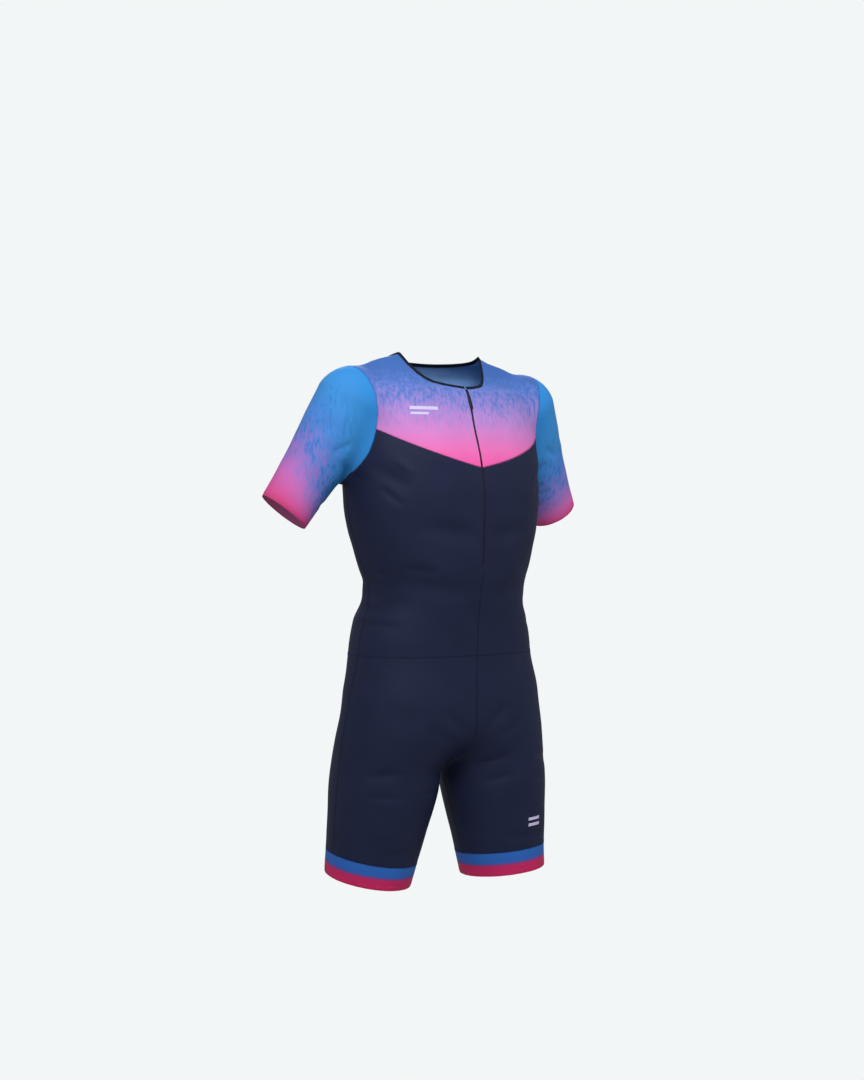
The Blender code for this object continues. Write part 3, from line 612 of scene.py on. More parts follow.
@dataclass
class SuitPattern:
    """Where the suit is cut and sewn, and the grids of points of its cloth pieces."""

    form: BodyForm
    fine: int = 6
    neck_centre_y: float = 0.020
    neck_half_widths: dict = field(
        default_factory=lambda: {Side.RIGHT: 0.0960, Side.LEFT: 0.0865}
    )
    neck_front: float = 0.0935
    neck_front_power: float = 1.3
    neck_back: float = 0.050
    neck_ray_start: float = -0.100
    zip_half_gap: float = 3.0 * MM
    zip_closed_gap: float = 2.0 * MM
    # The heights, just below the slider, between which the zip's edges draw together
    zip_joint: tuple[float, float] = (-0.050, -0.072)
    armhole_centre: tuple[float, float, float] = (0.165, 0.018, -0.090)
    armhole_bow: float = 0.25
    armhole_lean: float = 0.03
    yoke_angle: float = 80.0
    neck_row_angle: float = 108.0
    shoulder_angle: float = 180.0
    cuff_distance: float = 0.2125
    cuff_tilt: float = 0.10
    yoke_front_height: float = -0.163
    yoke_back_height: float = -0.125
    waist_height: float = -0.477
    side_top_drop: float = 0.022
    crotch_pivot: tuple[float, float, float] = (0.0, 0.012, -0.565)
    band_top_distance: float = 0.262
    hem_distance: float = 0.302
    yoke_rays_chest: tuple[float, float, float] = (0.0, 0.0, -0.115)
    yoke_rays_shoulder: tuple[float, float, float] = (0.125, 0.005, -0.090)
    waist_rays_out: float = 0.060
    across: int = 12
    yoke_steps_centre: int = 5
    yoke_steps_neck: int = 6
    armhole_steps: int = 5
    side_steps: int = 10
    hip_steps_level: int = 3
    hip_steps: int = 7
    thigh_steps: int = 7
    band_steps: int = 2
    sleeve_steps: int = 9
    zip_steps: int = 8
    zip_close: float = 0.3

    def centre_line(self, side: Side, heights: Array, facing: Facing, gaps: Array | float) -> Array:
        """Points on the centre front or the centre back, or beside it by the given gaps."""
        origins = np.stack((side.value * gaps + 0 * heights, 0 * heights, heights), -1)
        return self.form.cast(origins, (0.0, facing.value, 0.0))

    def neck_points(self, side: Side, angles: Array) -> Array:
        """Points of the neckline.

        Args:
            side: The side of the suit.
            angles: 0 at the centre front, 90 at the shoulder, 180 at the centre back.

        Returns:
            The points.
        """
        turns = np.radians(angles)
        is_front = angles < 90
        front = self.neck_front * np.abs(np.cos(turns)) ** self.neck_front_power
        least = np.where(is_front, self.zip_half_gap, 0.0)
        x = np.maximum(self.neck_half_widths[side] * np.sin(turns), least)
        y = self.neck_centre_y - np.where(is_front, front, self.neck_back * np.cos(turns))
        origins = np.stack((side.value * x, y, np.full(x.shape, self.neck_ray_start)), -1)
        return self.form.cast(origins, (0.0, 0.0, 1.0))

    def armhole_middle(self, side: Side) -> Array:
        """The point that the armhole's rays start from."""
        return np.array(self.armhole_centre) * (side.value, 1, 1)

    def armhole_ways(self, side: Side, angles: Array) -> Array:
        """Directions from the armhole's middle to its seam.

        Args:
            side: The side of the suit.
            angles: 0 under the arm, 90 at the front, 180 on the shoulder.

        Returns:
            The directions.
        """
        turns = np.radians(angles)
        bow = self.armhole_bow * np.cos(turns) ** 2 + self.armhole_lean * np.cos(turns)
        return unit(np.stack((side.value * bow, -np.sin(turns), -np.cos(turns)), -1))

    def armhole_points(self, side: Side, angles: Array) -> Array:
        """Points of the armhole seam."""
        return self.form.cast(self.armhole_middle(side), self.armhole_ways(side, angles))

    def past_armhole(self, side: Side) -> Limit:
        """A limit that keeps the torso's rays out of a sleeve.

        Args:
            side: The sleeve's side.

        Returns:
            The limit.
        """
        centre = self.armhole_middle(side)

        def limit(points: Array) -> Array:
            """How far points lie beyond the sheet that spans the armhole.

            Args:
                points: The points.

            Returns:
                The measure at each point, positive beyond the sheet.
            """
            offset = points - centre
            spread = np.hypot(offset[..., 1], offset[..., 2]) + self.form.ray_start
            cosine = -offset[..., 2] / spread
            bow = self.armhole_bow * cosine**2 + self.armhole_lean * cosine
            return side.value * offset[..., 0] - spread * bow

        return limit

    @staticmethod
    def past_middle(side: Side) -> Limit:
        """A limit that keeps a leg's rays out of the other leg."""
        return lambda points: -side.value * points[..., 0]

    @staticmethod
    def facing_angles(angles: Array, facing: Facing) -> Array:
        """Armhole angles on the front, or of the same heights on the back."""
        return angles if facing is Facing.FRONT else 360.0 - angles

    def leg_frame(self, side: Side, distance: float) -> tuple[Array, Array, Array]:
        """A level on a leg's axis.

        Args:
            side: The leg's side.
            distance: How far along the axis the level lies.

        Returns:
            Its centre and its outward and forward directions.
        """
        start, direction = LEG_LIMBS[side].axis(side)
        out = np.array((float(side.value), 0.0, 0.0))
        out = unit(out - (out @ direction) * direction)
        front = np.array((0.0, -1.0, 0.0))
        front = front - (front @ direction) * direction
        return start + distance * direction, out, unit(front - (front @ out) * out)

    def yoke_origins(self, side: Side, shares: Array) -> Array:
        """Where the rays of yoke rows start: on the axis at the chest, outwards above.

        Args:
            side: The side of the suit.
            shares: How far up the yoke each row lies.

        Returns:
            The points.
        """
        chest = np.array(self.yoke_rays_chest)
        shoulder = np.array(self.yoke_rays_shoulder)
        places = chest + (shoulder - chest) * shares[:, None] ** (2, 1, 1)
        return places * (side.value, 1, 1)

    def yoke_angles(self) -> Array:
        """Where on the armhole the yoke's rows end.

        Returns:
            The armhole angles, from the yoke's lower seam up.
        """
        chest_steps, neck_steps = self.yoke_steps_centre * self.fine, self.yoke_steps_neck * self.fine
        chest = np.linspace(self.yoke_angle, self.neck_row_angle, chest_steps + 1)
        shoulder = np.linspace(self.neck_row_angle, self.shoulder_angle, neck_steps + 1)
        return np.concatenate((chest, shoulder[1:]))

    def yoke(self, side: Side, facing: Facing) -> Array:
        """Rows of a yoke piece, from its lower seam up to the shoulder seam.

        Args:
            side: The side of the suit.
            facing: Front or back.

        Returns:
            The rows, each from the centre or the neck to the armhole.
        """
        front = facing is Facing.FRONT
        neck_steps = self.yoke_steps_neck * self.fine
        neck_start = 0.0 if front else 180.0
        neck_edge = self.neck_points(side, np.linspace(neck_start, 90.0, neck_steps + 1))
        bottom = self.yoke_front_height if front else self.yoke_back_height
        centre_steps = self.yoke_steps_centre * self.fine
        heights = np.linspace(bottom, neck_edge[0, 2], centre_steps + 1)[:-1]
        gaps = self.zip_gaps(heights) if front else 0.0
        starts = np.concatenate((self.centre_line(side, heights, facing, gaps), neck_edge))
        angles = self.yoke_angles()
        ends = self.armhole_points(side, self.facing_angles(angles, facing))
        origins = self.yoke_origins(side, np.linspace(0, 1, len(angles)))
        limit = self.past_armhole(side)
        return self.form.sweep(origins, starts, ends, self.across * self.fine, limit=limit)

    def zip_gaps(self, heights: Array) -> Array:
        """Half the zip's gap: open above the slider, closed below.

        Args:
            heights: Where the gap is asked for.

        Returns:
            The gap beside the middle at each height.
        """
        top, bottom = self.zip_joint
        share = np.clip((heights - bottom) / (top - bottom), 0, 1)
        share = share * share * (3 - 2 * share)
        return self.zip_closed_gap + share * (self.zip_half_gap - self.zip_closed_gap)

    def body(self, side: Side, facing: Facing) -> Array:
        """Rows of a body piece, from the yoke seam down to the waist seam.

        Args:
            side: The side of the suit.
            facing: Front or back.

        Returns:
            The rows, each from the centre to the armhole or the side seam.
        """
        front = facing is Facing.FRONT
        top = self.yoke_front_height if front else self.yoke_back_height
        armhole_steps = self.armhole_steps * self.fine
        steps = armhole_steps + (self.side_steps + 1) * self.fine
        shares = np.linspace(0, 1, steps + 1)
        heights = top + shares * (self.waist_height - top)
        past = np.arange(steps + 1) / self.fine - self.zip_steps
        gaps = self.zip_gaps(heights) * np.clip(1 - past / self.zip_close, 0, 1) * front
        starts = self.centre_line(side, heights, facing, gaps)
        angles = np.linspace(self.yoke_angle, 0, armhole_steps + 1)
        armhole = self.armhole_points(side, self.facing_angles(angles, facing))
        ends = np.concatenate((armhole, self.side_line(side, armhole[-1])))
        lift = self.yoke_origins(side, shares[:1])[0, 2] - (top + ends[0, 2]) / 2
        middle = (heights + ends[:, 2]) / 2 + lift * (1 - shares) ** 2
        origins = np.stack((0 * middle, 0 * middle, middle), -1)
        limit = self.past_armhole(side)
        return self.form.sweep(origins, starts, ends, self.across * self.fine, limit=limit)

    def side_line(self, side: Side, underarm: Array) -> Array:
        """Points of the side seam, down to the waist.

        Args:
            side: The side of the suit.
            underarm: The point under the arm, from which the seam runs down.

        Returns:
            The points below that one.
        """
        first = underarm[2] - self.side_top_drop
        drop = np.linspace(underarm[2], first, self.fine + 1)[1:]
        share = np.linspace(0, 1, self.side_steps * self.fine + 1)[1:]
        heights = np.concatenate((drop, first + share * (self.waist_height - first)))
        y = self.armhole_centre[1] * np.concatenate((0 * drop + 1, (1 - share) ** 2))
        origins = np.stack((0 * heights, y, heights), -1)
        return self.form.cast(origins, (side.value, 0.0, 0.0))

    def centre_seam(self, facing: Facing) -> Array:
        """Points of the centre seam of the shorts, from the waist down to the crotch.

        Args:
            facing: Front or back.

        Returns:
            The points.
        """
        pivot = np.array(self.crotch_pivot)
        k = np.arange(self.hip_steps * self.fine + 1) / self.fine
        level = np.minimum(k / self.hip_steps_level, 1)[:, None]
        origins = np.array((0, 0, self.waist_height)) * (1 - level) + pivot * level
        past = np.maximum(k - self.hip_steps_level, 0) / (self.hip_steps - self.hip_steps_level)
        turns = past * math.pi / 2
        ways = np.stack((0 * turns, facing.value * np.cos(turns), -np.sin(turns)), -1)
        return self.form.cast(origins, ways)

    def shorts(self, side: Side, facing: Facing) -> Array:
        """Rows of a piece of the shorts, from the waist seam to the leg band.

        Args:
            side: The side of the suit.
            facing: Front or back.

        Returns:
            The rows, each from the centre seam or the inseam to the side seam.
        """
        seam = self.centre_seam(facing)
        crotch = seam[-1]
        start, direction = LEG_LIMBS[side].axis(side)
        crotch_distance = float((crotch - start) @ direction)
        crotch_centre, crotch_out, front = self.leg_frame(side, crotch_distance)
        waist = np.array((side.value * self.waist_rays_out, 0.0, self.waist_height))
        share = np.linspace(0, 1, self.hip_steps * self.fine + 1)[:, None]
        origins = waist + share * (crotch_centre - waist)
        outer_way = (1 - share) * np.array((float(side.value), 0.0, 0.0)) + share * crotch_out
        hints = (1 - share) * np.array((0.0, facing.value, 0.0)) - share * facing.value * front
        ends = self.form.cast(origins, outer_way)
        across = self.across * self.fine
        hip = self.form.sweep(origins, seam, ends, across, hints, self.past_middle(side))
        share = np.linspace(0, 1, self.thigh_steps * self.fine + 1)[1:, None]
        span = self.band_top_distance - crotch_distance
        distances = crotch_distance + share[:, 0] * span
        inner_way = (1 - share) * unit(crotch - crotch_centre) - share * crotch_out
        return np.concatenate((hip, self.leg_rows(side, facing, distances, inner_way)))

    def leg_rows(
        self, side: Side, facing: Facing, distances: Array, inner_way: Optional[Array] = None
    ) -> Array:
        """Half rings round a leg, from its inner line past its front or back to the side.

        Args:
            side: The leg's side.
            facing: Front or back.
            distances: How far along the leg's axis each ring lies.
            inner_way: Directions to the inner line, if not straight inwards.

        Returns:
            The half rings.
        """
        start, out, front = self.leg_frame(side, 0.0)
        direction = LEG_LIMBS[side].axis(side)[1]
        centres = start + distances[:, None] * direction
        limit = self.past_middle(side)
        inner = self.form.cast(centres, -out if inner_way is None else inner_way, limit)
        outer = self.form.cast(centres, out)
        hints = -facing.value * front
        return self.form.sweep(centres, inner, outer, self.across * self.fine, hints, limit)

    def band(self, side: Side) -> Array:
        """Rings of a leg band, from its seam to the hem.

        Args:
            side: The leg's side.

        Returns:
            The rings.
        """
        steps = self.band_steps * self.fine
        distances = np.linspace(self.band_top_distance, self.hem_distance, steps + 1)
        front, back = (self.leg_rows(side, facing, distances) for facing in Facing)
        return np.concatenate((front, back[:, -2:0:-1]), axis=1)

    def armhole_angles(self) -> Array:
        """Stations of the armhole seam, the same as the ends of the rows that meet it.

        Returns:
            Their angles, once round.
        """
        body = np.linspace(0, self.yoke_angle, self.armhole_steps * self.fine + 1)
        front = np.concatenate((body, self.yoke_angles()[1:]))
        return np.concatenate((front, 360.0 - front[-2:0:-1]))

    @staticmethod
    def sleeve_frame(side: Side) -> tuple[Array, Array, Array, Array]:
        """The frame that a sleeve's rings are set in.

        Args:
            side: The sleeve's side.

        Returns:
            The start of its axis, and its direction, inward direction and forward direction.
        """
        start, axis = SLEEVE_LIMBS[side].axis(side)
        inner = np.array((-float(side.value), 0.0, 0.0))
        inner = unit(inner - (inner @ axis) * axis)
        return start, axis, inner, -side.value * np.cross(axis, inner)

    def sleeve(self, side: Side) -> Array:
        """Rings of a sleeve, from the armhole seam to the cuff.

        Args:
            side: The sleeve's side.

        Returns:
            The rings.
        """
        axis_start, axis, inner, front = self.sleeve_frame(side)
        shoulder = self.armhole_middle(side)
        cuff = axis_start + self.cuff_distance * axis
        angles = self.armhole_angles()
        turns = np.radians(angles)[:, None]
        at_cuff = np.cos(turns) * (inner + self.cuff_tilt * axis) + np.sin(turns) * front
        share = np.linspace(0, 1, self.sleeve_steps * self.fine + 1)[:, None, None]
        ways = (1 - share**2) * self.armhole_ways(side, angles) + share**2 * at_cuff
        return self.form.cast(shoulder + share * (cuff - shoulder), ways)


# ---------------------------------------------------------------- the cloth's surface


@dataclass
class ClothSurface:
    """How far the cloth lies below the smooth form: creases, seam valleys and puckers."""

    form: BodyForm
    seam_depth: float = 0.22 * MM
    seam_width: float = 1.2 * MM
    pucker_depth: float = 0.30 * MM
    pucker_reach: float = 9.0 * MM
    pucker_length: float = 15.0 * MM
    wander_depth: float = 0.50 * MM
    wander_length: float = 75.0 * MM
    crease_share: float = 2.8

    # The waves of the unrest: which way they run, and how much each is shorter and shifted
    WAVES = ((0.9, 0.2, 0.4), (-0.3, 0.7, 0.7), (0.5, -0.6, 0.8), (-0.8, -0.5, 0.3))
    SHORTENING = 0.23
    SHIFT = 1.7

    @classmethod
    def ripple(cls, points: Array, length: float) -> Array:
        """An even unrest between -1 and 1.

        Args:
            points: Where it is asked for.
            length: About how long its waves are.

        Returns:
            The unrest at each point.
        """
        total = np.zeros(points.shape[:-1])
        for i, way in enumerate(cls.WAVES):
            phase = points @ np.array(way) * (2 * math.pi / length) * (1 + cls.SHORTENING * i)
            total += np.sin(phase + cls.SHIFT * i)
        return total / len(cls.WAVES)

    def depth(self, points: Array, edge: Array | float) -> Array:
        """How deep the cloth lies below the form.

        Args:
            points: Points on the form.
            edge: Their distance from the nearest seam or edge.

        Returns:
            The depth at each point, in metres.
        """
        edge = np.asarray(edge, float)
        depth = self.crease_share * self.form.crease_depth(points, SMALL_CREASES)
        depth += self.seam_depth * np.exp(-((edge / self.seam_width) ** 2))
        pucker = self.ripple(points, self.pucker_length) * np.exp(-edge / self.pucker_reach)
        return depth + self.pucker_depth * pucker + self.wander_depth * self.ripple(
            points, self.wander_length
        )

    def press(self, points: Array, edge: Array | float, lift: float = 0.0) -> Array:
        """Points of the form moved onto the cloth's outer face, and then out by a lift."""
        depth = self.depth(points, edge) - lift
        return points - self.form.outward(points) * depth[..., None]


@dataclass
class Cloth:
    """A flat-meshed piece of cloth before it gets its thickness."""

    points: Array
    quads: Array
    quad_uvs: Array
    fade: Array
    edge: Array

    # How far from an edge its extra lines lie, and the least room that they take as given
    LOOPS = (0.5 * MM, 1.0 * MM, 1.7 * MM)
    LEAST_RUN = 2.2 * MM
    # Points of two halves that are nearer than this are one
    SAME_PLACE = 0.001 * MM

    @classmethod
    def edge_loops(cls, grid: Array, axis: int) -> Array:
        """Put extra lines just inside both ends of an axis.

        Args:
            grid: The grid of points.
            axis: The axis that the lines cross.

        Returns:
            The finer grid.
        """
        lines = np.moveaxis(grid, axis, 0)

        def near(edge: Array, neighbour: Array) -> list[Array]:
            """Lines between an edge and its neighbour.

            Args:
                edge: The line at the edge.
                neighbour: The next line of the grid.

            Returns:
                The lines, from the edge inwards.
            """
            run = np.linalg.norm(neighbour - edge, axis=-1, keepdims=True)
            way = (neighbour - edge) / np.maximum(run, cls.LEAST_RUN)
            return [(edge + way * distance)[None] for distance in cls.LOOPS]

        first = near(lines[0], lines[1])
        last = near(lines[-1], lines[-2])[::-1]
        lines = np.concatenate((lines[:1], *first, lines[1:-1], *last, lines[-1:]))
        return np.moveaxis(lines, 0, axis)

    @classmethod
    def from_grid(cls, grid: Array, closed: bool = False, sewn_rows: Optional[int] = None) -> Cloth:
        """A piece that is one grid of points.

        Args:
            grid: Rows of points on the form.
            closed: Whether the rows run all round.
            sewn_rows: How many rows, from the first, have no edge at their first column.

        Returns:
            The piece.
        """
        last_sewn = grid[(sewn_rows or 1) - 1, 0]
        grid = cls.edge_loops(grid, 0)
        if not closed:
            grid = cls.edge_loops(grid, 1)
        columns = grid.shape[1]
        index = numbered(*grid.shape[:2])
        ring = closed_rings(grid) if closed else grid
        across, along = run_length(ring, 1), run_length(ring, 0)
        edge = np.minimum(along, along[-1] - along)[:, :columns]
        if closed:
            index = closed_rings(index)
        else:
            from_first = across.copy()
            if sewn_rows is not None:
                joined = np.linalg.norm(grid[:, 0] - last_sewn, axis=-1).argmin() + 1
                from_first[:joined] = np.inf
            edge = np.minimum(edge, np.minimum(from_first, across[:, -1:] - across))
        uvs = cls.corners(np.stack((across, along), -1))
        fade = (along / along[-1])[:, :columns]
        return cls(grid.reshape(-1, 3), cls.corners(index), uvs, fade.ravel(), edge.ravel())

    @staticmethod
    def corners(values: Array) -> Array:
        """The four corner values of each quad of a grid.

        Args:
            values: The values at the grid's points.

        Returns:
            Four values for each quad, row by row.
        """
        parts = (values[:-1, :-1], values[1:, :-1], values[1:, 1:], values[:-1, 1:])
        stacked = np.stack(parts, 2)
        return stacked.reshape(-1, *stacked.shape[2:])

    @classmethod
    def from_halves(cls, left: Array, right: Array, sewn_rows: int) -> Cloth:
        """A back piece of two halves that share the start of their first columns.

        Args:
            left: The grid of the left half.
            right: The grid of the right half.
            sewn_rows: How many rows share their first point.

        Returns:
            The piece.
        """
        halves = [cls.from_grid(grid, sewn_rows=sewn_rows) for grid in (left, right)]
        count = len(halves[0].points)
        points = np.concatenate([half.points for half in halves])
        quads = np.concatenate((halves[0].quads, halves[1].quads + count))
        keys = np.round(points / cls.SAME_PLACE).astype(np.int64)
        _, first, place = np.unique(keys, axis=0, return_index=True, return_inverse=True)
        uvs, fade, edge = (
            np.concatenate([getattr(half, name) for half in halves])
            for name in ("quad_uvs", "fade", "edge")
        )
        return cls(points[first], place.ravel()[quads], uvs, fade[first], edge[first])


def add_object(name: str, data: bpy.types.ID) -> Object:
    """Put a new object into the scene.

    Args:
        name: The object's name.
        data: Its mesh, light or camera.

    Returns:
        The object.
    """
    item = bpy.data.objects.new(name, data)
    bpy.context.scene.collection.objects.link(item)
    return item


def add_mesh(name: str, points: Array, faces: Sequence[Sequence[int]]) -> Object:
    """A new object of points and faces.

    Args:
        name: The object's name.
        points: The points, in any shape of array.
        faces: The faces, as indices of points.

    Returns:
        The object.
    """
    mesh = bpy.data.meshes.new(name)
    points = points.reshape(-1, 3).tolist()
    mesh.from_pydata(points, [], [list(map(int, face)) for face in faces])
    return add_object(name, mesh)


def smooth(item: Object, angle: float = 40.0) -> None:
    """Shade an object smooth up to the given angle in degrees."""
    item.data.shade_smooth()
    item.data.set_sharp_from_angle(angle=math.radians(angle))


def report(item: Object, note: str = "") -> None:
    """Log a finished piece with its count of triangles."""
    triangles = sum(len(face.vertices) - 2 for face in item.data.polygons)
    LOG.info("%s: %d triangles%s", item.name, triangles, note)


# ---------------------------------------------------------------- finishes

# The stops that a new colour ramp has
RAMP_STOPS = 2
# Nearly all values of a noise lie between these
NOISE_RANGE = (0.3, 0.7)
# The length of one wave of a wave texture at scale 1
WAVE_PERIOD = 2 * math.pi / 20


def linear(colour: str) -> tuple[float, float, float, float]:
    """An sRGB hex colour as linear RGBA, by the curve of the sRGB standard."""
    parts = [int(colour[i : i + 2], 16) / 255 for i in (1, 3, 5)]
    return (*(p / 12.92 if p <= 0.04045 else ((p + 0.055) / 1.055) ** 2.4 for p in parts), 1.0)


def fill_inputs(tree: Tree, node: bpy.types.Node, inputs: dict) -> None:
    """Give a node's inputs their values.

    Args:
        tree: The material's node tree.
        node: The node.
        inputs: Values, hex colours or output sockets by the name or place of the input.
    """
    for name, value in inputs.items():
        if isinstance(value, Socket):
            tree.links.new(value, node.inputs[name])
        else:
            node.inputs[name].default_value = linear(value) if isinstance(value, str) else value


def add_node(
    tree: Tree,
    kind: str,
    inputs: Optional[dict] = None,
    stops: Sequence[tuple[float, str]] = (),
    **settings: object,
) -> bpy.types.Node:
    """Add a shader node with its settings and links.

    Args:
        tree: The material's node tree.
        kind: The node's type.
        inputs: Values, hex colours or output sockets by the name or place of the input.
        stops: Places and hex colours of a colour ramp.
        settings: The node's own properties.

    Returns:
        The node.
    """
    node = tree.nodes.new(kind)
    for name, value in settings.items():
        setattr(node, name, value)
    fill_inputs(tree, node, inputs or {})
    for i, (place, colour) in enumerate(stops):
        ramp = node.color_ramp.elements
        stop = ramp[i] if i < RAMP_STOPS else ramp.new(place)
        stop.position = place
        stop.color = linear(colour)
    return node


def calc(tree: Tree, operation: str, *values: Socket | float) -> Socket:
    """The result of a math node's operation on two or three values."""
    return add_node(tree, "ShaderNodeMath", dict(enumerate(values)), operation=operation).outputs[0]


def remap(tree: Tree, *values: Socket | float, kind: str = "LINEAR") -> Socket:
    """A value moved from one range to another: the value, then the ends of both ranges."""
    inputs = dict(enumerate(values))
    return add_node(tree, "ShaderNodeMapRange", inputs, interpolation_type=kind).outputs[0]


def noise(tree: Tree, size: float, detail: float) -> Socket:
    """Noise that is fixed to the object.

    Args:
        tree: The material's node tree.
        size: About how long a swing of the noise is, in metres.
        detail: How many finer layers it has.

    Returns:
        The noise, from 0 to 1.
    """
    place = add_node(tree, "ShaderNodeTexCoord").outputs["Object"]
    inputs = {"Vector": place, "Scale": 1 / size, "Detail": detail}
    return add_node(tree, "ShaderNodeTexNoise", inputs).outputs["Fac"]


def bump(tree: Tree, height: Socket, depth: float) -> Socket:
    """The normals of a relief of the given depth."""
    inputs = {"Height": height, "Distance": depth, "Strength": 1.0}
    return add_node(tree, "ShaderNodeBump", inputs).outputs["Normal"]


@dataclass(frozen=True)
class Finish:
    """A moulded, woven or lacquered finish of one colour, with one fine grain in its surface."""

    name: str
    slot: str
    colour: str
    roughness: float = 0.6
    specular: float = 0.5
    coat: float = 0.0
    # Grain is drawn at least 0.5 mm apart, the least that shows on so small a part
    grain: float = 0.5 * MM
    grain_depth: float = 0.02 * MM
    grain_detail: float = 2.0

    def paint(self, tree: Tree) -> Socket | str:
        """The finish's colour: one hex colour, unless a finish mixes its own."""
        return self.colour

    def relief(self, tree: Tree) -> Socket:
        """The normals of the finish's fine relief."""
        return bump(tree, noise(tree, self.grain, self.grain_detail), self.grain_depth)

    def material(self) -> bpy.types.Material:
        """The finish's material, made once.

        Returns:
            The material.
        """
        material = bpy.data.materials.get(self.name)
        if material is None:
            material = bpy.data.materials.new(self.name)
            material.use_nodes = True
            tree = material.node_tree
            inputs = {
                "Base Color": self.paint(tree),
                "Roughness": self.roughness,
                "Specular IOR Level": self.specular,
                "Coat Weight": self.coat,
                "Normal": self.relief(tree),
            }
            fill_inputs(tree, tree.nodes["Principled BSDF"], inputs)
        return material


@dataclass(frozen=True)
class Knit(Finish):
    """Warp-knitted lycra: matt, with columns of loops that catch a little light."""

    specular: float = 0.12
    # Loops of such cloth are 0.4 mm apart; they are drawn at 1.6 mm, the least that shows
    loop_pitch: float = 1.6 * MM
    loop_depth: float = 0.05 * MM
    # A course is lower than a column is wide
    course_ratio: float = 0.7
    loop_unrest: float = 0.8
    cloud_size: float = 45 * MM
    cloud_detail: float = 3.0
    cloud: float = 0.10

    def shaded(self, tree: Tree, colour: Socket | str) -> Socket:
        """A colour with soft clouds of darker cloth.

        Args:
            tree: The material's node tree.
            colour: The colour without its clouds.

        Returns:
            The clouded colour.
        """
        clouds = noise(tree, self.cloud_size, self.cloud_detail)
        shade = remap(tree, clouds, *NOISE_RANGE, 1 - self.cloud, 1 + self.cloud)
        plain = linear(colour)[:3] if isinstance(colour, str) else colour
        inputs = {0: shade, 1: plain}
        return add_node(tree, "ShaderNodeVectorMath", inputs, operation="MULTIPLY").outputs[0]

    def paint(self, tree: Tree) -> Socket:
        """The dyed colour with its clouds."""
        return self.shaded(tree, self.colour)

    def relief(self, tree: Tree) -> Socket:
        """The normals of the columns and courses of loops.

        Args:
            tree: The material's node tree.

        Returns:
            The normals.
        """
        place = add_node(tree, "ShaderNodeTexCoord").outputs["UV"]
        inputs = {"Vector": place, "Distortion": self.loop_unrest, "Detail": 1.0}
        waves = []
        for way, share in (("X", 1.0), ("Y", self.course_ratio)):
            inputs["Scale"] = WAVE_PERIOD / (self.loop_pitch * share)
            wave = add_node(tree, "ShaderNodeTexWave", inputs, bands_direction=way)
            waves.append(wave.outputs["Fac"])
        return bump(tree, calc(tree, "MULTIPLY", *waves), self.loop_depth)


@dataclass(frozen=True)
class PrintedKnit(Knit):
    """Sublimation-printed lycra: a colour run, drawn out into upright streaks where it turns."""

    cloud: float = 0.04
    stops: tuple = ()
    # Fine lines in the streaks
    line: str = "#3f62b4"
    line_amount: float = 0.35
    # Where in the colour run the streaks start, are strongest and end
    streak_window: tuple = (0.2, 0.5, 0.8)
    # How far the streaks move the run: forwards in their lines, or backwards below zero
    streak_shift: float = 0.24
    streak_width: float = 5 * MM
    streak_length: float = 24 * MM
    streak_detail: float = 1.5
    streak_unrest: float = 0.5
    # The values of the streaks' noise between which a line comes up
    line_range: tuple = (0.56, 0.62)
    # How far the run sways up and down, as a share of it, and how wide a sway is
    drift: float = 0.05
    drift_size: float = 60 * MM
    drift_detail: float = 2.0

    def paint(self, tree: Tree) -> Socket:
        """The colour run, its streaks and the lines in them.

        Args:
            tree: The material's node tree.

        Returns:
            The printed colour.
        """
        run = add_node(tree, "ShaderNodeAttribute", attribute_name="fade").outputs["Fac"]
        sway = noise(tree, self.drift_size, self.drift_detail)
        share = calc(tree, "MULTIPLY_ADD", sway, self.drift, run)
        share = calc(tree, "SUBTRACT", share, self.drift / 2)
        width, length = 1 / self.streak_width, 1 / self.streak_length
        place = add_node(tree, "ShaderNodeTexCoord").outputs["Object"]
        inputs = {"Vector": place, "Scale": (width, width, length)}
        inputs = {
            "Vector": add_node(tree, "ShaderNodeMapping", inputs).outputs[0],
            "Scale": 1.0,
            "Detail": self.streak_detail,
            "Distortion": self.streak_unrest,
        }
        streaks = add_node(tree, "ShaderNodeTexNoise", inputs).outputs["Fac"]
        reach = self.streak_shift / 2
        swing = remap(tree, streaks, *NOISE_RANGE, -reach, reach)
        lines = remap(tree, streaks, *self.line_range, 0.0, self.line_amount)
        start, middle, end = self.streak_window
        rise = remap(tree, share, start, middle, 0.0, 1.0, kind="SMOOTHSTEP")
        fall = remap(tree, share, middle, end, 1.0, 0.0, kind="SMOOTHSTEP")
        window = calc(tree, "MULTIPLY", rise, fall)
        moved = calc(tree, "MULTIPLY_ADD", window, swing, share)
        ground = add_node(tree, "ShaderNodeValToRGB", {"Fac": moved}, self.stops).outputs[0]
        # The places of a mix node's factor and its two colours
        inputs = {0: calc(tree, "MULTIPLY", window, lines), 6: ground, 7: self.line}
        mixed = add_node(tree, "ShaderNodeMix", inputs, data_type="RGBA").outputs[2]
        return self.shaded(tree, mixed)


# Dyed warp knit: matt and dark, so its folds show as soft greys more than as gloss
NAVY_LYCRA = Knit("dyed_navy_lycra", "navy_lycra", "#1e243f", cloud=0.06)
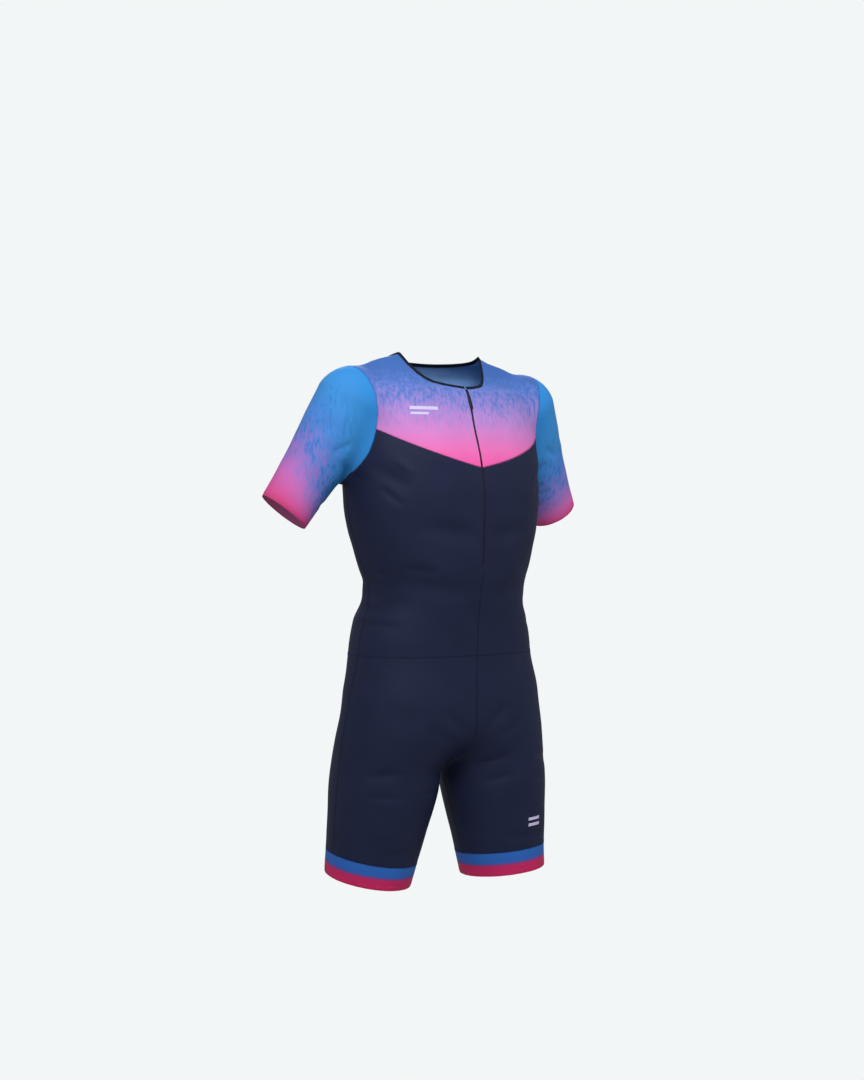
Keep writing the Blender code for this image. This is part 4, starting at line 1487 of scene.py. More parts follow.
# Print on white knit: clean colours that run into each other without an edge
YOKE_PRINT = PrintedKnit(
    "sublimation_printed_yoke_lycra",
    "printed_lycra",
    "#8a74bc",
    stops=(
        (0.00, "#f25eae"),
        (0.14, "#ea70b6"),
        (0.32, "#d082ca"),
        (0.46, "#ae86d0"),
        (0.60, "#8080cc"),
        (0.74, "#5474c0"),
        (0.88, "#3f66ae"),
        (1.00, "#3a64aa"),
    ),
    line="#4470bc",
    line_amount=0.3,
    streak_window=(0.20, 0.68, 1.1),
    streak_shift=0.18,
)
SLEEVE_PRINT = PrintedKnit(
    "sublimation_printed_sleeve_lycra",
    "printed_sleeve_lycra",
    "#4a80cc",
    stops=(
        (0.00, "#2f88d2"),
        (0.34, "#4092da"),
        (0.52, "#4a88d8"),
        (0.66, "#6a7ed0"),
        (0.79, "#9a78ca"),
        (0.89, "#cc6cb8"),
        (0.96, "#d85498"),
        (1.00, "#c43e70"),
    ),
    line="#3464b8",
    line_amount=0.5,
    streak_window=(0.12, 0.58, 0.92),
    streak_shift=-0.26,
)
# The print shows through to the back of the cloth, duller; these colours are painted lighter than
# that, painted light that makes up for the shade inside the neck and the cuffs
YOKE_REVERSE_PAINTED_LIGHT = Knit("lycra_print_reverse", "printed_lycra", "#86b6f6")
SLEEVE_REVERSE_PAINTED_LIGHT = PrintedKnit(
    "sleeve_lycra_print_reverse",
    "printed_sleeve_lycra",
    "#5a86b8",
    stops=((0.0, "#5596d8"), (0.5, "#5c86c0"), (0.8, "#b884c4"), (1.0, "#e0709c")),
    line_amount=0.0,
    streak_shift=-0.2,
)
# Woven elastic with a lock-knit face: firmer and a little smoother than the lycra
BAND_PRINT = PrintedKnit(
    "printed_grip_elastic",
    "band_elastic",
    "#8a3a80",
    roughness=0.55,
    stops=(
        (0.0, "#2f68bc"),
        (0.43, "#2f62b6"),
        (0.50, "#78408a"),
        (0.57, "#c22a62"),
        (1.0, "#c6265c"),
    ),
    line_amount=0.0,
    streak_shift=0.0,
    drift=0.03,
)
BINDING_ELASTIC = Knit(
    "folded_binding_elastic", "neck_binding_elastic", "#10121f", loop_pitch=1.2 * MM, cloud=0.05
)
# Polyester twill tape: flat black, with a weave too fine to show
TAPE_POLYESTER = Finish(
    "polyester_twill_tape", "zip_tape_polyester", "#14151f", roughness=0.75, specular=0.3
)
# Nylon monofilament: smooth enough for a small highlight on each loop
COIL_NYLON = Finish(
    "nylon_coil", "zip_tape_polyester", "#181a26", roughness=0.38, grain_depth=0.005 * MM
)
# Stoved lacquer on die-cast zinc: a satin black skin with a soft highlight
SLIDER_LACQUER = Finish(
    "stoved_black_lacquer",
    "zip_slider_lacquer",
    "#141419",
    roughness=0.34,
    coat=0.3,
    grain_depth=0.006 * MM,
)
# Moulded rubber: dull, with the fine grain of its mould
TAB_RUBBER = Finish(
    "moulded_rubber", "zip_tab_rubber", "#17171c", roughness=0.6, specular=0.35
)
# Texturised polyester thread, a tone lighter than the cloth it sews; for the navy thread that
# lightness is painted light, making up for the shade between its stitches
NAVY_THREAD = Finish("navy_polyester_thread", "navy_lycra", "#2c3154", specular=0.2)
BLUE_THREAD = Finish("blue_polyester_thread", "printed_lycra", "#5698dc", specular=0.2)
PINK_THREAD = Finish("pink_polyester_thread", "printed_lycra", "#d870b0", specular=0.2)
# Heat-transfer film: a pale, even skin
TRANSFER_FILM = Finish(
    "transfer_film", "printed_lycra", "#cfc6e8", roughness=0.5, grain_depth=0.01 * MM
)


# ---------------------------------------------------------------- cloth assemblies


@dataclass
class Assembly:
    """What every part of the suit is made on: the pattern and the cloth's surface."""

    pattern: SuitPattern
    surface: ClothSurface


@dataclass
class ClothAssembly(Assembly):
    """What the sewn parts share: how cloth is cut, dressed and marked."""

    thickness: float = 0.8 * MM
    # How far the worn cloth is stretched from its flat cut, round the body and along it
    girth_stretch: float = 1.12
    length_stretch: float = 1.04
    # A mark's film: its lift, how far its bars lean, and its columns and rows
    film: float = 0.12 * MM
    film_lean: float = 0.25
    film_grid: tuple = (41, 7)

    def dress(
        self, node: str, cloth: Cloth, finish: Finish, reverse: Optional[Finish] = None
    ) -> Object:
        """Make a piece of cloth in place of its solid.

        Args:
            node: The solid that the piece replaces.
            cloth: The piece's points on the form.
            finish: The finish of its face.
            reverse: The finish of its back, if it differs.

        Returns:
            The piece.
        """
        form = self.surface.form
        normals = form.outward(cloth.points)
        depth = self.surface.depth(cloth.points, cloth.edge)
        outer = cloth.points - normals * depth[:, None]
        inner = outer - normals * self.thickness
        quads, uvs = cloth.quads, cloth.quad_uvs
        a, b, c = (outer[quads[:, i]] for i in (0, 1, 3))
        facing = np.einsum("ij,ij->i", np.cross(b - a, c - a), normals[quads[:, 0]])
        if facing.sum() < 0:
            quads, uvs = quads[:, ::-1], uvs[:, ::-1]
        count = len(outer)
        ends = np.stack((quads, np.roll(quads, -1, axis=1)), -1).reshape(-1, 2)
        end_uvs = np.stack((uvs, np.roll(uvs, -1, axis=1)), 2).reshape(-1, 2, 2)
        keys = np.sort(ends, axis=1) @ (count, 1)
        _, place, held = np.unique(keys, return_inverse=True, return_counts=True)
        rim = held[place.ravel()] == 1
        one, other = ends[rim].T
        rims = np.stack((other, one, one + count, other + count), -1)
        rim_uvs = end_uvs[rim][:, (1, 0, 0, 1)]
        faces = np.concatenate((quads, quads[:, ::-1] + count, rims))
        item = add_mesh(f"{node}_cloth", np.concatenate((outer, inner)), faces)
        layer = item.data.uv_layers.new(name="cut")
        all_uvs = np.concatenate((uvs, uvs[:, ::-1], rim_uvs))
        layer.data.foreach_set("uv", all_uvs.astype(np.float32).ravel())
        fade = item.data.attributes.new("fade", "FLOAT", "POINT")
        fade.data.foreach_set("value", np.tile(cloth.fade, 2).astype(np.float32))
        item.data.materials.append(finish.material())
        if reverse is not None:
            item.data.materials.append(reverse.material())
            slots = np.zeros(len(faces), np.int32)
            slots[len(quads) : 2 * len(quads)] = 1
            item.data.polygons.foreach_set("material_index", slots)
        smooth(item)
        self.declare(item, uvs, outer, quads)
        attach(item, "suit")
        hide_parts(node)
        return item

    def declare(self, item: Object, uvs: Array, outer: Array, quads: Array) -> None:
        """Log the flat cut of a piece.

        Args:
            item: The piece.
            uvs: The worn measures at the corners of its quads.
            outer: The points of its face.
            quads: The quads of its face.
        """
        a, b, c, d = (outer[quads[:, i]] for i in range(4))
        worn = np.linalg.norm(np.cross(c - a, d - b), axis=-1).sum() / 2
        spread = np.ptp(uvs.reshape(-1, 2), axis=0)
        if item.name.startswith(("yoke_back", "body_back")):
            spread[0] *= 2
        width = round(float(spread[0]) / self.girth_stretch, 3)
        length = round(float(spread[1]) / self.length_stretch, 3)
        area = round(float(worn) / (self.girth_stretch * self.length_stretch), 4)
        report(item, f", cut {width / MM:.0f} x {length / MM:.0f} mm, {area:.4f} square metres")

    def add_mark(self, name: str, bars: Sequence[tuple]) -> None:
        """Lay flat bars of transfer film on the front of the suit.

        Args:
            name: The mark's name.
            bars: The X and Z of each bar's middle, its width and its height.
        """
        across, up = (np.linspace(-0.5, 0.5, count) for count in self.film_grid)
        index = numbered(len(up), len(across))
        quads = Cloth.corners(index)
        border = np.concatenate((index[0, :-1], index[:-1, -1], index[-1, :0:-1], index[:0:-1, 0]))
        after = np.roll(border, -1)
        rims = np.stack((border, after, after + index.size, border + index.size), -1)
        faces = [*quads, *(quads[:, ::-1] + index.size), *rims]
        for i, (x, z, width, height) in enumerate(bars):
            v = up[:, None] * height
            u = across * width + self.film_lean * v
            origins = np.stack((x + u, 0 * u, z + v + 0 * u), -1)
            face = self.surface.form.cast(origins, (0.0, -1.0, 0.0))
            points = [self.surface.press(face, 1.0, lift) for lift in (self.film, -self.film)]
            item = add_mesh(f"{name}_mark_{i + 1}", np.array(points), faces)
            finish_piece(item, TRANSFER_FILM)


@dataclass
class Yoke(ClothAssembly):
    """The printed pieces over the chest and the shoulder blades, with their plain mark."""

    mark_bars: tuple = (
        (-0.0900, -0.0665, 0.048, 0.0055),
        (-0.0990, -0.0755, 0.030, 0.0040),
    )
    # The heights between which the print runs from pink to blue
    print_heights: tuple = (-0.163, 0.027)

    def build(self) -> None:
        """Make the two front pieces, the back piece and the mark."""
        steps = self.pattern.yoke_steps_centre * self.pattern.fine
        halves = [self.pattern.yoke(side, Facing.BACK) for side in (Side.LEFT, Side.RIGHT)]
        pieces = {"yoke_back": Cloth.from_halves(*halves, steps + 1)}
        for side in Side:
            grid = self.pattern.yoke(side, Facing.FRONT)
            pieces[f"yoke_front_{side.word}"] = Cloth.from_grid(grid)
        for node, cloth in pieces.items():
            cloth.fade = np.interp(cloth.points[:, 2], self.print_heights, (0.0, 1.0))
            self.dress(node, cloth, YOKE_PRINT, YOKE_REVERSE_PAINTED_LIGHT)
        self.add_mark("chest", self.mark_bars)


@dataclass
class Body(ClothAssembly):
    """The navy pieces from the yoke to the waist."""

    def build(self) -> None:
        """Make the two front pieces and the back piece."""
        for side in Side:
            cloth = Cloth.from_grid(self.pattern.body(side, Facing.FRONT))
            self.dress(f"body_front_{side.word}", cloth, NAVY_LYCRA)
        halves = [self.pattern.body(side, Facing.BACK) for side in (Side.LEFT, Side.RIGHT)]
        self.dress("body_back", Cloth.from_halves(*halves, len(halves[0])), NAVY_LYCRA)


@dataclass
class Shorts(ClothAssembly):
    """The four navy pieces of the shorts, with a plain mark on the left thigh."""

    mark_bars: tuple = (
        (0.1240, -0.7620, 0.028, 0.0050),
        (0.1240, -0.7720, 0.028, 0.0050),
    )

    def build(self) -> None:
        """Make the four pieces and the mark."""
        for side in Side:
            for facing in Facing:
                cloth = Cloth.from_grid(self.pattern.shorts(side, facing))
                self.dress(f"short_{facing.word}_{side.word}", cloth, NAVY_LYCRA)
        self.add_mark("thigh", self.mark_bars)


@dataclass
class LegBands(ClothAssembly):
    """The elastic bands that grip the thighs."""

    thickness: float = 1.1 * MM

    def build(self) -> None:
        """Make both bands."""
        for side in Side:
            cloth = Cloth.from_grid(self.pattern.band(side), closed=True)
            self.dress(f"leg_band_{side.word}", cloth, BAND_PRINT)


@dataclass
class Sleeves(ClothAssembly):
    """The printed short sleeves."""

    # How much further the print has run, halfway down, on the outside than in the middle
    outer_leads: dict = field(default_factory=lambda: {Side.RIGHT: 0.12, Side.LEFT: -0.10})

    def build(self) -> None:
        """Make both sleeves."""
        for side in Side:
            cloth = Cloth.from_grid(self.pattern.sleeve(side), closed=True)
            start, axis, inner, front = self.pattern.sleeve_frame(side)
            outer = (start - cloth.points) @ inner
            outer /= np.hypot(outer, (cloth.points - start) @ front)
            # share * (1 - share) is a quarter halfway, where the lead counts in full
            lead = 4 * self.outer_leads[side] * outer
            cloth.fade = cloth.fade * (1 + lead * (1 - cloth.fade))
            self.dress(f"sleeve_{side.word}", cloth, SLEEVE_PRINT, SLEEVE_REVERSE_PAINTED_LIGHT)


def finish_piece(item: Object, finish: Finish, body: str = "suit") -> None:
    """Turn a closed piece's faces outwards, dress it and put it on its body.

    Args:
        item: The piece.
        finish: Its finish.
        body: The body that it rides on.
    """
    shell = bmesh.new()
    shell.from_mesh(item.data)
    bmesh.ops.recalc_face_normals(shell, faces=shell.faces)
    shell.to_mesh(item.data)
    shell.free()
    item.data.materials.clear()
    item.data.materials.append(finish.material())
    smooth(item)
    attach(item, body)
    report(item)


def strip(points: Array, name: str) -> Object:
    """A solid strip swept from closed sections.

    Args:
        points: The sections' points, stations first.
        name: The strip's name.

    Returns:
        The strip, with UVs that run along it and round it.
    """
    index = numbered(*points.shape[:2])
    item = add_mesh(name, points, [*Cloth.corners(closed_rings(index)), index[0], index[-1]])
    uvs = np.stack((run_length(points, 0), run_length(points, 1)), -1).reshape(-1, 2)
    corners = np.zeros(len(item.data.loops), np.int32)
    item.data.loops.foreach_get("vertex_index", corners)
    layer = item.data.uv_layers.new(name="cut")
    layer.data.foreach_set("uv", uvs[corners].astype(np.float32).ravel())
    return item


@dataclass
class NeckBinding(Assembly):
    """The folded elastic binding that stands on the neck edge."""

    # How far it leans from the cloth's own way to straight up
    upright: float = 0.6
    stretch: float = 1.08
    strip_width: float = 0.010
    # The folded strip's section, in millimetres: how high and how far out each point lies
    section: tuple = (
        (0.1, 0.25),
        (0.9, 0.40),
        (1.6, 0.10),
        (2.4, 0.45),
        (4.0, 0.45),
        (5.0, 0.20),
        (5.6, -0.25),
        (5.8, -0.85),
        (5.5, -1.40),
        (4.9, -1.75),
        (3.2, -1.85),
        (0.1, -1.80),
    )

    def build(self) -> None:
        """Sweep the folded strip from one side of the zip round the neck to the other."""
        steps = 2 * self.pattern.yoke_steps_neck * self.pattern.fine
        angles = np.linspace(0, 180, steps + 1)
        right = self.pattern.neck_points(Side.RIGHT, angles)
        left = self.pattern.neck_points(Side.LEFT, angles[-2::-1])
        base = np.concatenate((right, left))
        along = unit(np.gradient(base, axis=0))
        normal = self.surface.form.outward(base)
        up = np.cross(normal, along)
        up *= np.sign(up[:, 2:3])
        upright = unit(up + np.array((0, 0, self.upright)))
        high, out = np.array(self.section).T[:, None, :, None] * MM
        item = strip(base[:, None] + upright[:, None] * high + normal[:, None] * out, "neck_edge")
        finish_piece(item, BINDING_ELASTIC)
        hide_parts("neck_binding")
        length = float(run_length(base)[-1]) / self.stretch
        LOG.info("neck_edge is cut %.0f mm long", length / MM)


# ---------------------------------------------------------------- zip

# A face looks along an axis when this much of its normal runs along it
FACING = 0.9
# An edge runs through a plate when its ends are this much apart from front to back
THROUGH = 0.4 * MM
# Points of a spun part that are nearer than this are one
WELD = 0.01 * MM
# The steps of the soft edges of the slider, its bridge, the tab and the tab's ribs
EDGE_STEPS = 2


def new_primitive(name: str, size: Sequence[float], middle: Sequence[float]) -> Object:
    """A block at its size and place, in edit mode with everything selected.

    Args:
        name: The object's name.
        size: Its measures in metres.
        middle: Its middle in metres.

    Returns:
        The block.
    """
    bpy.ops.object.select_all(action="DESELECT")
    bpy.ops.mesh.primitive_cube_add(size=1)
    item = bpy.context.object
    item.name = name
    bpy.ops.object.mode_set(mode="EDIT")
    bpy.ops.transform.resize(value=size)
    bpy.ops.transform.translate(value=middle)
    return item


def choose(item: Object, test: Callable[[bpy.types.bpy_struct], bool], part: str) -> None:
    """Select the points, edges or faces of the edited object that pass a test.

    Args:
        item: The object in edit mode.
        test: What a chosen element passes.
        part: One of verts, edges and faces.
    """
    bpy.ops.mesh.select_all(action="DESELECT")
    cage = bmesh.from_edit_mesh(item.data)
    bpy.context.tool_settings.mesh_select_mode = (part == "verts", part == "edges", part == "faces")
    for element in getattr(cage, part):
        element.select_set(bool(test(element)))
    bmesh.update_edit_mesh(item.data)


def leave_edit() -> None:
    """Go back to object mode."""
    bpy.ops.object.mode_set(mode="OBJECT")


def is_deep(edge: bpy.types.bpy_struct) -> bool:
    """Whether an edge runs from the front of a plate to its back."""
    return abs(edge.verts[0].co.y - edge.verts[1].co.y) > THROUGH


def is_broad(face: bpy.types.bpy_struct) -> bool:
    """Whether a face looks to the front or to the back."""
    return abs(face.normal.y) > FACING


def round_plate(plate: Object, corner: float, steps: int, edge: float) -> None:
    """Round an edited plate's corners and then the edges of its broad faces.

    Args:
        plate: The plate, in edit mode. It is left in object mode.
        corner: The size of the corners.
        steps: How many steps a corner has.
        edge: The size of the soft edges.
    """
    choose(plate, is_deep, "edges")
    bpy.ops.mesh.bevel(offset=corner, segments=steps)
    choose(plate, is_broad, "faces")
    bpy.ops.mesh.bevel(offset=edge, segments=EDGE_STEPS)
    leave_edit()


def join(items: Sequence[Object]) -> Object:
    """Join objects into the first.

    Args:
        items: The objects.

    Returns:
        The first of them.
    """
    bpy.ops.object.select_all(action="DESELECT")
    for item in items:
        item.select_set(True)
    bpy.context.view_layer.objects.active = items[0]
    bpy.ops.object.join()
    return items[0]


@dataclass
class Zip(Assembly):
    """The front zip: its tape, its coil, the slider on it and the slider's pull tab."""

    tape_columns: int = 4
    tape_depth: float = 1.4 * MM
    tape_thickness: float = 0.6 * MM
    tooth_pitch: float = 1.5 * MM
    tooth_size: tuple = (1.4 * MM, 1.0 * MM, 0.7 * MM)
    tooth_head: float = 0.3 * MM
    tooth_head_growth: tuple = (1, 1.2, 1.25)
    tooth_edge: float = 0.14 * MM
    tooth_offset: float = 0.90 * MM
    slider_drop: float = 15 * MM
    slider_width: float = 5.2 * MM
    slider_length: float = 9.0 * MM
    slider_top: float = 0.9 * MM
    slider_base: float = 1.9 * MM
    slider_taper: float = 0.74
    slider_edge: float = 0.15 * MM
    slider_corner_steps: int = 4
    plate_thickness: float = 0.8 * MM
    # The corners of the slider's plates and of the tab
    corner: float = 1.3 * MM
    # The post's width, length, height on the slider and soft edge
    post: tuple = (1.2 * MM, 2.0 * MM, 2.8 * MM, 0.1 * MM)
    bridge_width: float = 1.5 * MM
    bridge_reach: float = 2.25 * MM
    bridge_bar: float = 0.85 * MM
    bridge_rise: float = 3.0 * MM
    bridge_steps: int = 12
    hinge_height: float = 2.0 * MM
    tab_length: float = 24.0 * MM
    tab_top: float = 0.5 * MM
    tab_width: float = 5.0 * MM
    tab_thickness: float = 1.2 * MM
    tab_edge: float = 0.2 * MM
    tab_lean: float = 2.5
    # The eye's width, height, middle and corner
    tab_eye: tuple = (2.4 * MM, 3.4 * MM, -2.2 * MM, 0.7 * MM)
    tab_corner_steps: int = 5
    eye_corner_steps: int = 3
    # How deep the block is that cuts the eye: more than the tab is thick
    eye_cut: float = 4 * MM
    ribs: int = 6
    rib_size: tuple = (3.4 * MM, 1.7 * MM, 0.8 * MM)
    rib_edge: float = 0.22 * MM
    rib_start: float = 4.0 * MM
    rib_pitch: float = 1.7 * MM
    # How far below the last tooth the tape goes on, in steps of the pattern
    tape_end: float = 0.5

    def rows(self, side: Side) -> Array:
        """The cloth's points beside the zip.

        Args:
            side: The side of the zip.

        Returns:
            Rows from the neck down, each from the zip's edge outwards.
        """
        fine = self.pattern.fine
        yoke = self.pattern.yoke(side, Facing.FRONT)[: self.pattern.yoke_steps_centre * fine + 1]
        end = int((self.pattern.zip_steps + self.tape_end) * fine) + 1
        body = self.pattern.body(side, Facing.FRONT)[1:end]
        return np.concatenate((yoke[::-1], body))[:, : self.tape_columns]

    def middle_line(self) -> Array:
        """Points of the zip's line from the neck down, halfway between its edges."""
        return (self.rows(Side.RIGHT)[:, 0] + self.rows(Side.LEFT)[:, 0]) / 2

    def place(self) -> tuple[Array, float]:
        """Where the slider sits.

        Returns:
            Its place on the zip's line, and how far it leans about X.
        """
        line = self.middle_line()
        down = unit(line[self.pattern.fine] - line[0])
        return line[0] + down * self.slider_drop, math.atan2(down[1], -down[2])

    def build(self) -> None:
        """Make the tape, the coil, the slider and the tab."""
        self.build_tape()
        self.build_coil()
        spot, lean = self.place()
        turn = Matrix.Translation(Vector(spot)) @ Matrix.Rotation(lean, 4, "X")
        slider = self.build_slider()
        slider.data.transform(turn)
        finish_piece(slider, SLIDER_LACQUER)
        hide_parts("zip_slider")
        tab = self.build_tab()
        hinge = turn @ Vector((0, -self.hinge_height, 0))
        lean += math.radians(self.tab_lean)
        tab.data.transform(Matrix.Translation(hinge) @ Matrix.Rotation(lean, 4, "X"))
        finish_piece(tab, TAB_RUBBER, "pull_tab")
        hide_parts("zip_pull_tab")

    def build_tape(self) -> None:
        """Lay the tape behind the two front edges."""
        right, left = self.rows(Side.RIGHT)[:, ::-1], self.rows(Side.LEFT)
        face = np.concatenate((right, left), axis=1)
        outer = self.surface.press(face, 1.0, -self.tape_depth)
        inner = self.surface.press(face, 1.0, -self.tape_depth - self.tape_thickness)
        item = strip(np.concatenate((outer, inner[:, ::-1]), axis=1), "zip_tape_weave")
        finish_piece(item, TAPE_POLYESTER)
        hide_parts("zip_tape")
        width, length = (float(run_length(line)[-1]) for line in (outer[0], outer[:, 0]))
        LOG.info("zip_tape_weave is cut %.0f x %.0f mm", width / MM, length / MM)

    def build_tooth(self) -> Object:
        """One loop of the coil: a short rounded bar with a wider head.

        Returns:
            The loop, at the origin with its head towards +X.
        """
        tooth = new_primitive("zip_coil", self.tooth_size, (0, 0, 0))
        choose(tooth, lambda face: face.normal.x > FACING, "faces")
        move = {"value": (self.tooth_head, 0, 0)}
        bpy.ops.mesh.extrude_region_move(TRANSFORM_OT_translate=move)
        bpy.ops.transform.resize(value=self.tooth_head_growth)
        bpy.ops.mesh.select_all(action="SELECT")
        bpy.ops.mesh.bevel(offset=self.tooth_edge, segments=1)
        leave_edit()
        return tooth

    def build_coil(self) -> None:
        """Set the loops along both edges, one side half a pitch behind the other."""
        line = resampled(self.middle_line(), self.tooth_pitch / 2)
        normal = self.surface.form.outward(line)
        across = np.cross(unit(np.gradient(line, axis=0)), normal)
        line = self.surface.press(line, 1.0, self.tooth_size[1] / 2 - self.tape_depth)
        apart = self.pattern.zip_gaps(line[:, 2]) - self.pattern.zip_closed_gap
        tooth = self.build_tooth()
        copies = []
        for i, spot in enumerate(line[1:-1], 1):
            way = across[i] * (1 if i % 2 else -1)
            axes = np.stack((way, -normal[i], np.cross(way, -normal[i])), 1)
            copies.append(add_object("zip_coil", tooth.data.copy()))
            spot = Matrix.Translation(spot - way * (self.tooth_offset + apart[i]))
            copies[-1].data.transform(spot @ Matrix(axes.tolist()).to_4x4())
        bpy.data.objects.remove(tooth, do_unlink=True)
        finish_piece(join(copies), COIL_NYLON)

    def build_slider(self) -> Object:
        """The slider: two shield-shaped plates, the post between them and the arched bridge.

        Returns:
            The slider, upright at the origin.
        """
        size = (self.slider_width, self.plate_thickness, self.slider_length)
        lift = self.plate_thickness / 2
        middles = {"body": lift - self.slider_top, "back": self.slider_base - lift}
        parts = []
        for name, middle in middles.items():
            plate = new_primitive(f"zip_slider_{name}", size, (0, middle, 0))
            choose(plate, lambda vert: vert.co.z < 0, "verts")
            bpy.ops.transform.resize(value=(self.slider_taper, 1, 1), center_override=(0, 0, 0))
            round_plate(plate, self.corner, self.slider_corner_steps, self.slider_edge)
            parts.append(plate)
        width, length, height, edge = self.post
        depth = self.slider_base + self.slider_top - 2 * self.plate_thickness
        middle = (self.slider_base - self.slider_top) / 2
        parts.append(new_primitive("zip_slider_post", (width, depth, length), (0, middle, height)))
        bpy.ops.mesh.bevel(offset=edge, segments=1)
        leave_edit()
        return join([*parts, self.build_bridge()])

    def build_bridge(self) -> Object:
        """The bridge: a square bar, spun into an arch that stands on the slider.

        Returns:
            The bridge.
        """
        leg = self.bridge_rise - self.bridge_reach
        front = -self.slider_top - leg
        size = (self.bridge_width, leg + self.plate_thickness / 2, self.bridge_bar)
        middle = (0, front + size[1] / 2, -self.bridge_reach)
        bridge = new_primitive("zip_slider_bridge", size, middle)
        choose(bridge, lambda face: face.normal.y < -FACING, "faces")
        centre = (0, front, 0)
        bpy.ops.mesh.spin(steps=self.bridge_steps, angle=-math.pi, center=centre, axis=(1, 0, 0))
        bpy.ops.mesh.extrude_region_move(TRANSFORM_OT_translate={"value": (0, size[1], 0)})
        bpy.ops.mesh.select_all(action="SELECT")
        bpy.ops.mesh.remove_doubles(threshold=WELD)
        leave_edit()
        bevel = bridge.modifiers.new("edges", "BEVEL")
        bevel.width = self.slider_edge
        bevel.segments = EDGE_STEPS
        bpy.ops.object.modifier_apply(modifier="edges")
        return bridge

    def build_tab(self) -> Object:
        """The pull tab: a rounded plate with an eye, and ribs where fingers hold it.

        Returns:
            The tab, hanging from the origin.
        """
        size = (self.tab_width, self.tab_thickness, self.tab_length + self.tab_top)
        tab = new_primitive("zip_tab", size, (0, 0, (self.tab_top - self.tab_length) / 2))
        round_plate(tab, self.corner, self.tab_corner_steps, self.tab_edge)
        width, height, middle, corner = self.tab_eye
        cutter = new_primitive("tab_eye_cutter", (width, self.eye_cut, height), (0, 0, middle))
        choose(cutter, is_deep, "edges")
        bpy.ops.mesh.bevel(offset=corner, segments=self.eye_corner_steps)
        leave_edit()
        bpy.context.view_layer.objects.active = tab
        cut = tab.modifiers.new("eye", "BOOLEAN")
        cut.operation = "DIFFERENCE"
        cut.solver = "EXACT"
        cut.object = cutter
        bpy.ops.object.modifier_apply(modifier="eye")
        bpy.data.objects.remove(cutter, do_unlink=True)
        parts = [tab]
        for i in range(self.ribs):
            spot = (0, 0, self.rib_start + i * self.rib_pitch - self.tab_length)
            parts.append(new_primitive(f"tab_rib_{i}", self.rib_size, spot))
            bpy.ops.mesh.bevel(offset=self.rib_edge, segments=EDGE_STEPS)
            leave_edit()
        return join(parts)


# ---------------------------------------------------------------- stitching


def resampled(path: Array, spacing: float) -> Array:
    """Points at even spacing along a path, from its first point to its last.

    Args:
        path: The path's points.
        spacing: About how far apart the new points lie.

    Returns:
        The new points.
    """
    length = run_length(path)
    places = np.linspace(0, length[-1], max(int(round(length[-1] / spacing)), 2) + 1)
    return np.stack([np.interp(places, length, path[:, i]) for i in range(3)], -1)


class Stitch(Enum):
    """How a row of stitches runs."""

    ZIGZAG = "zigzag"
    STRAIGHT = "straight"


@dataclass
class Row:
    """One row of stitches: its path on the form, its thread and how it runs."""

    name: str
    path: Array
    thread: Finish
    stitch: Stitch = Stitch.ZIGZAG
    beside: float = 0.0


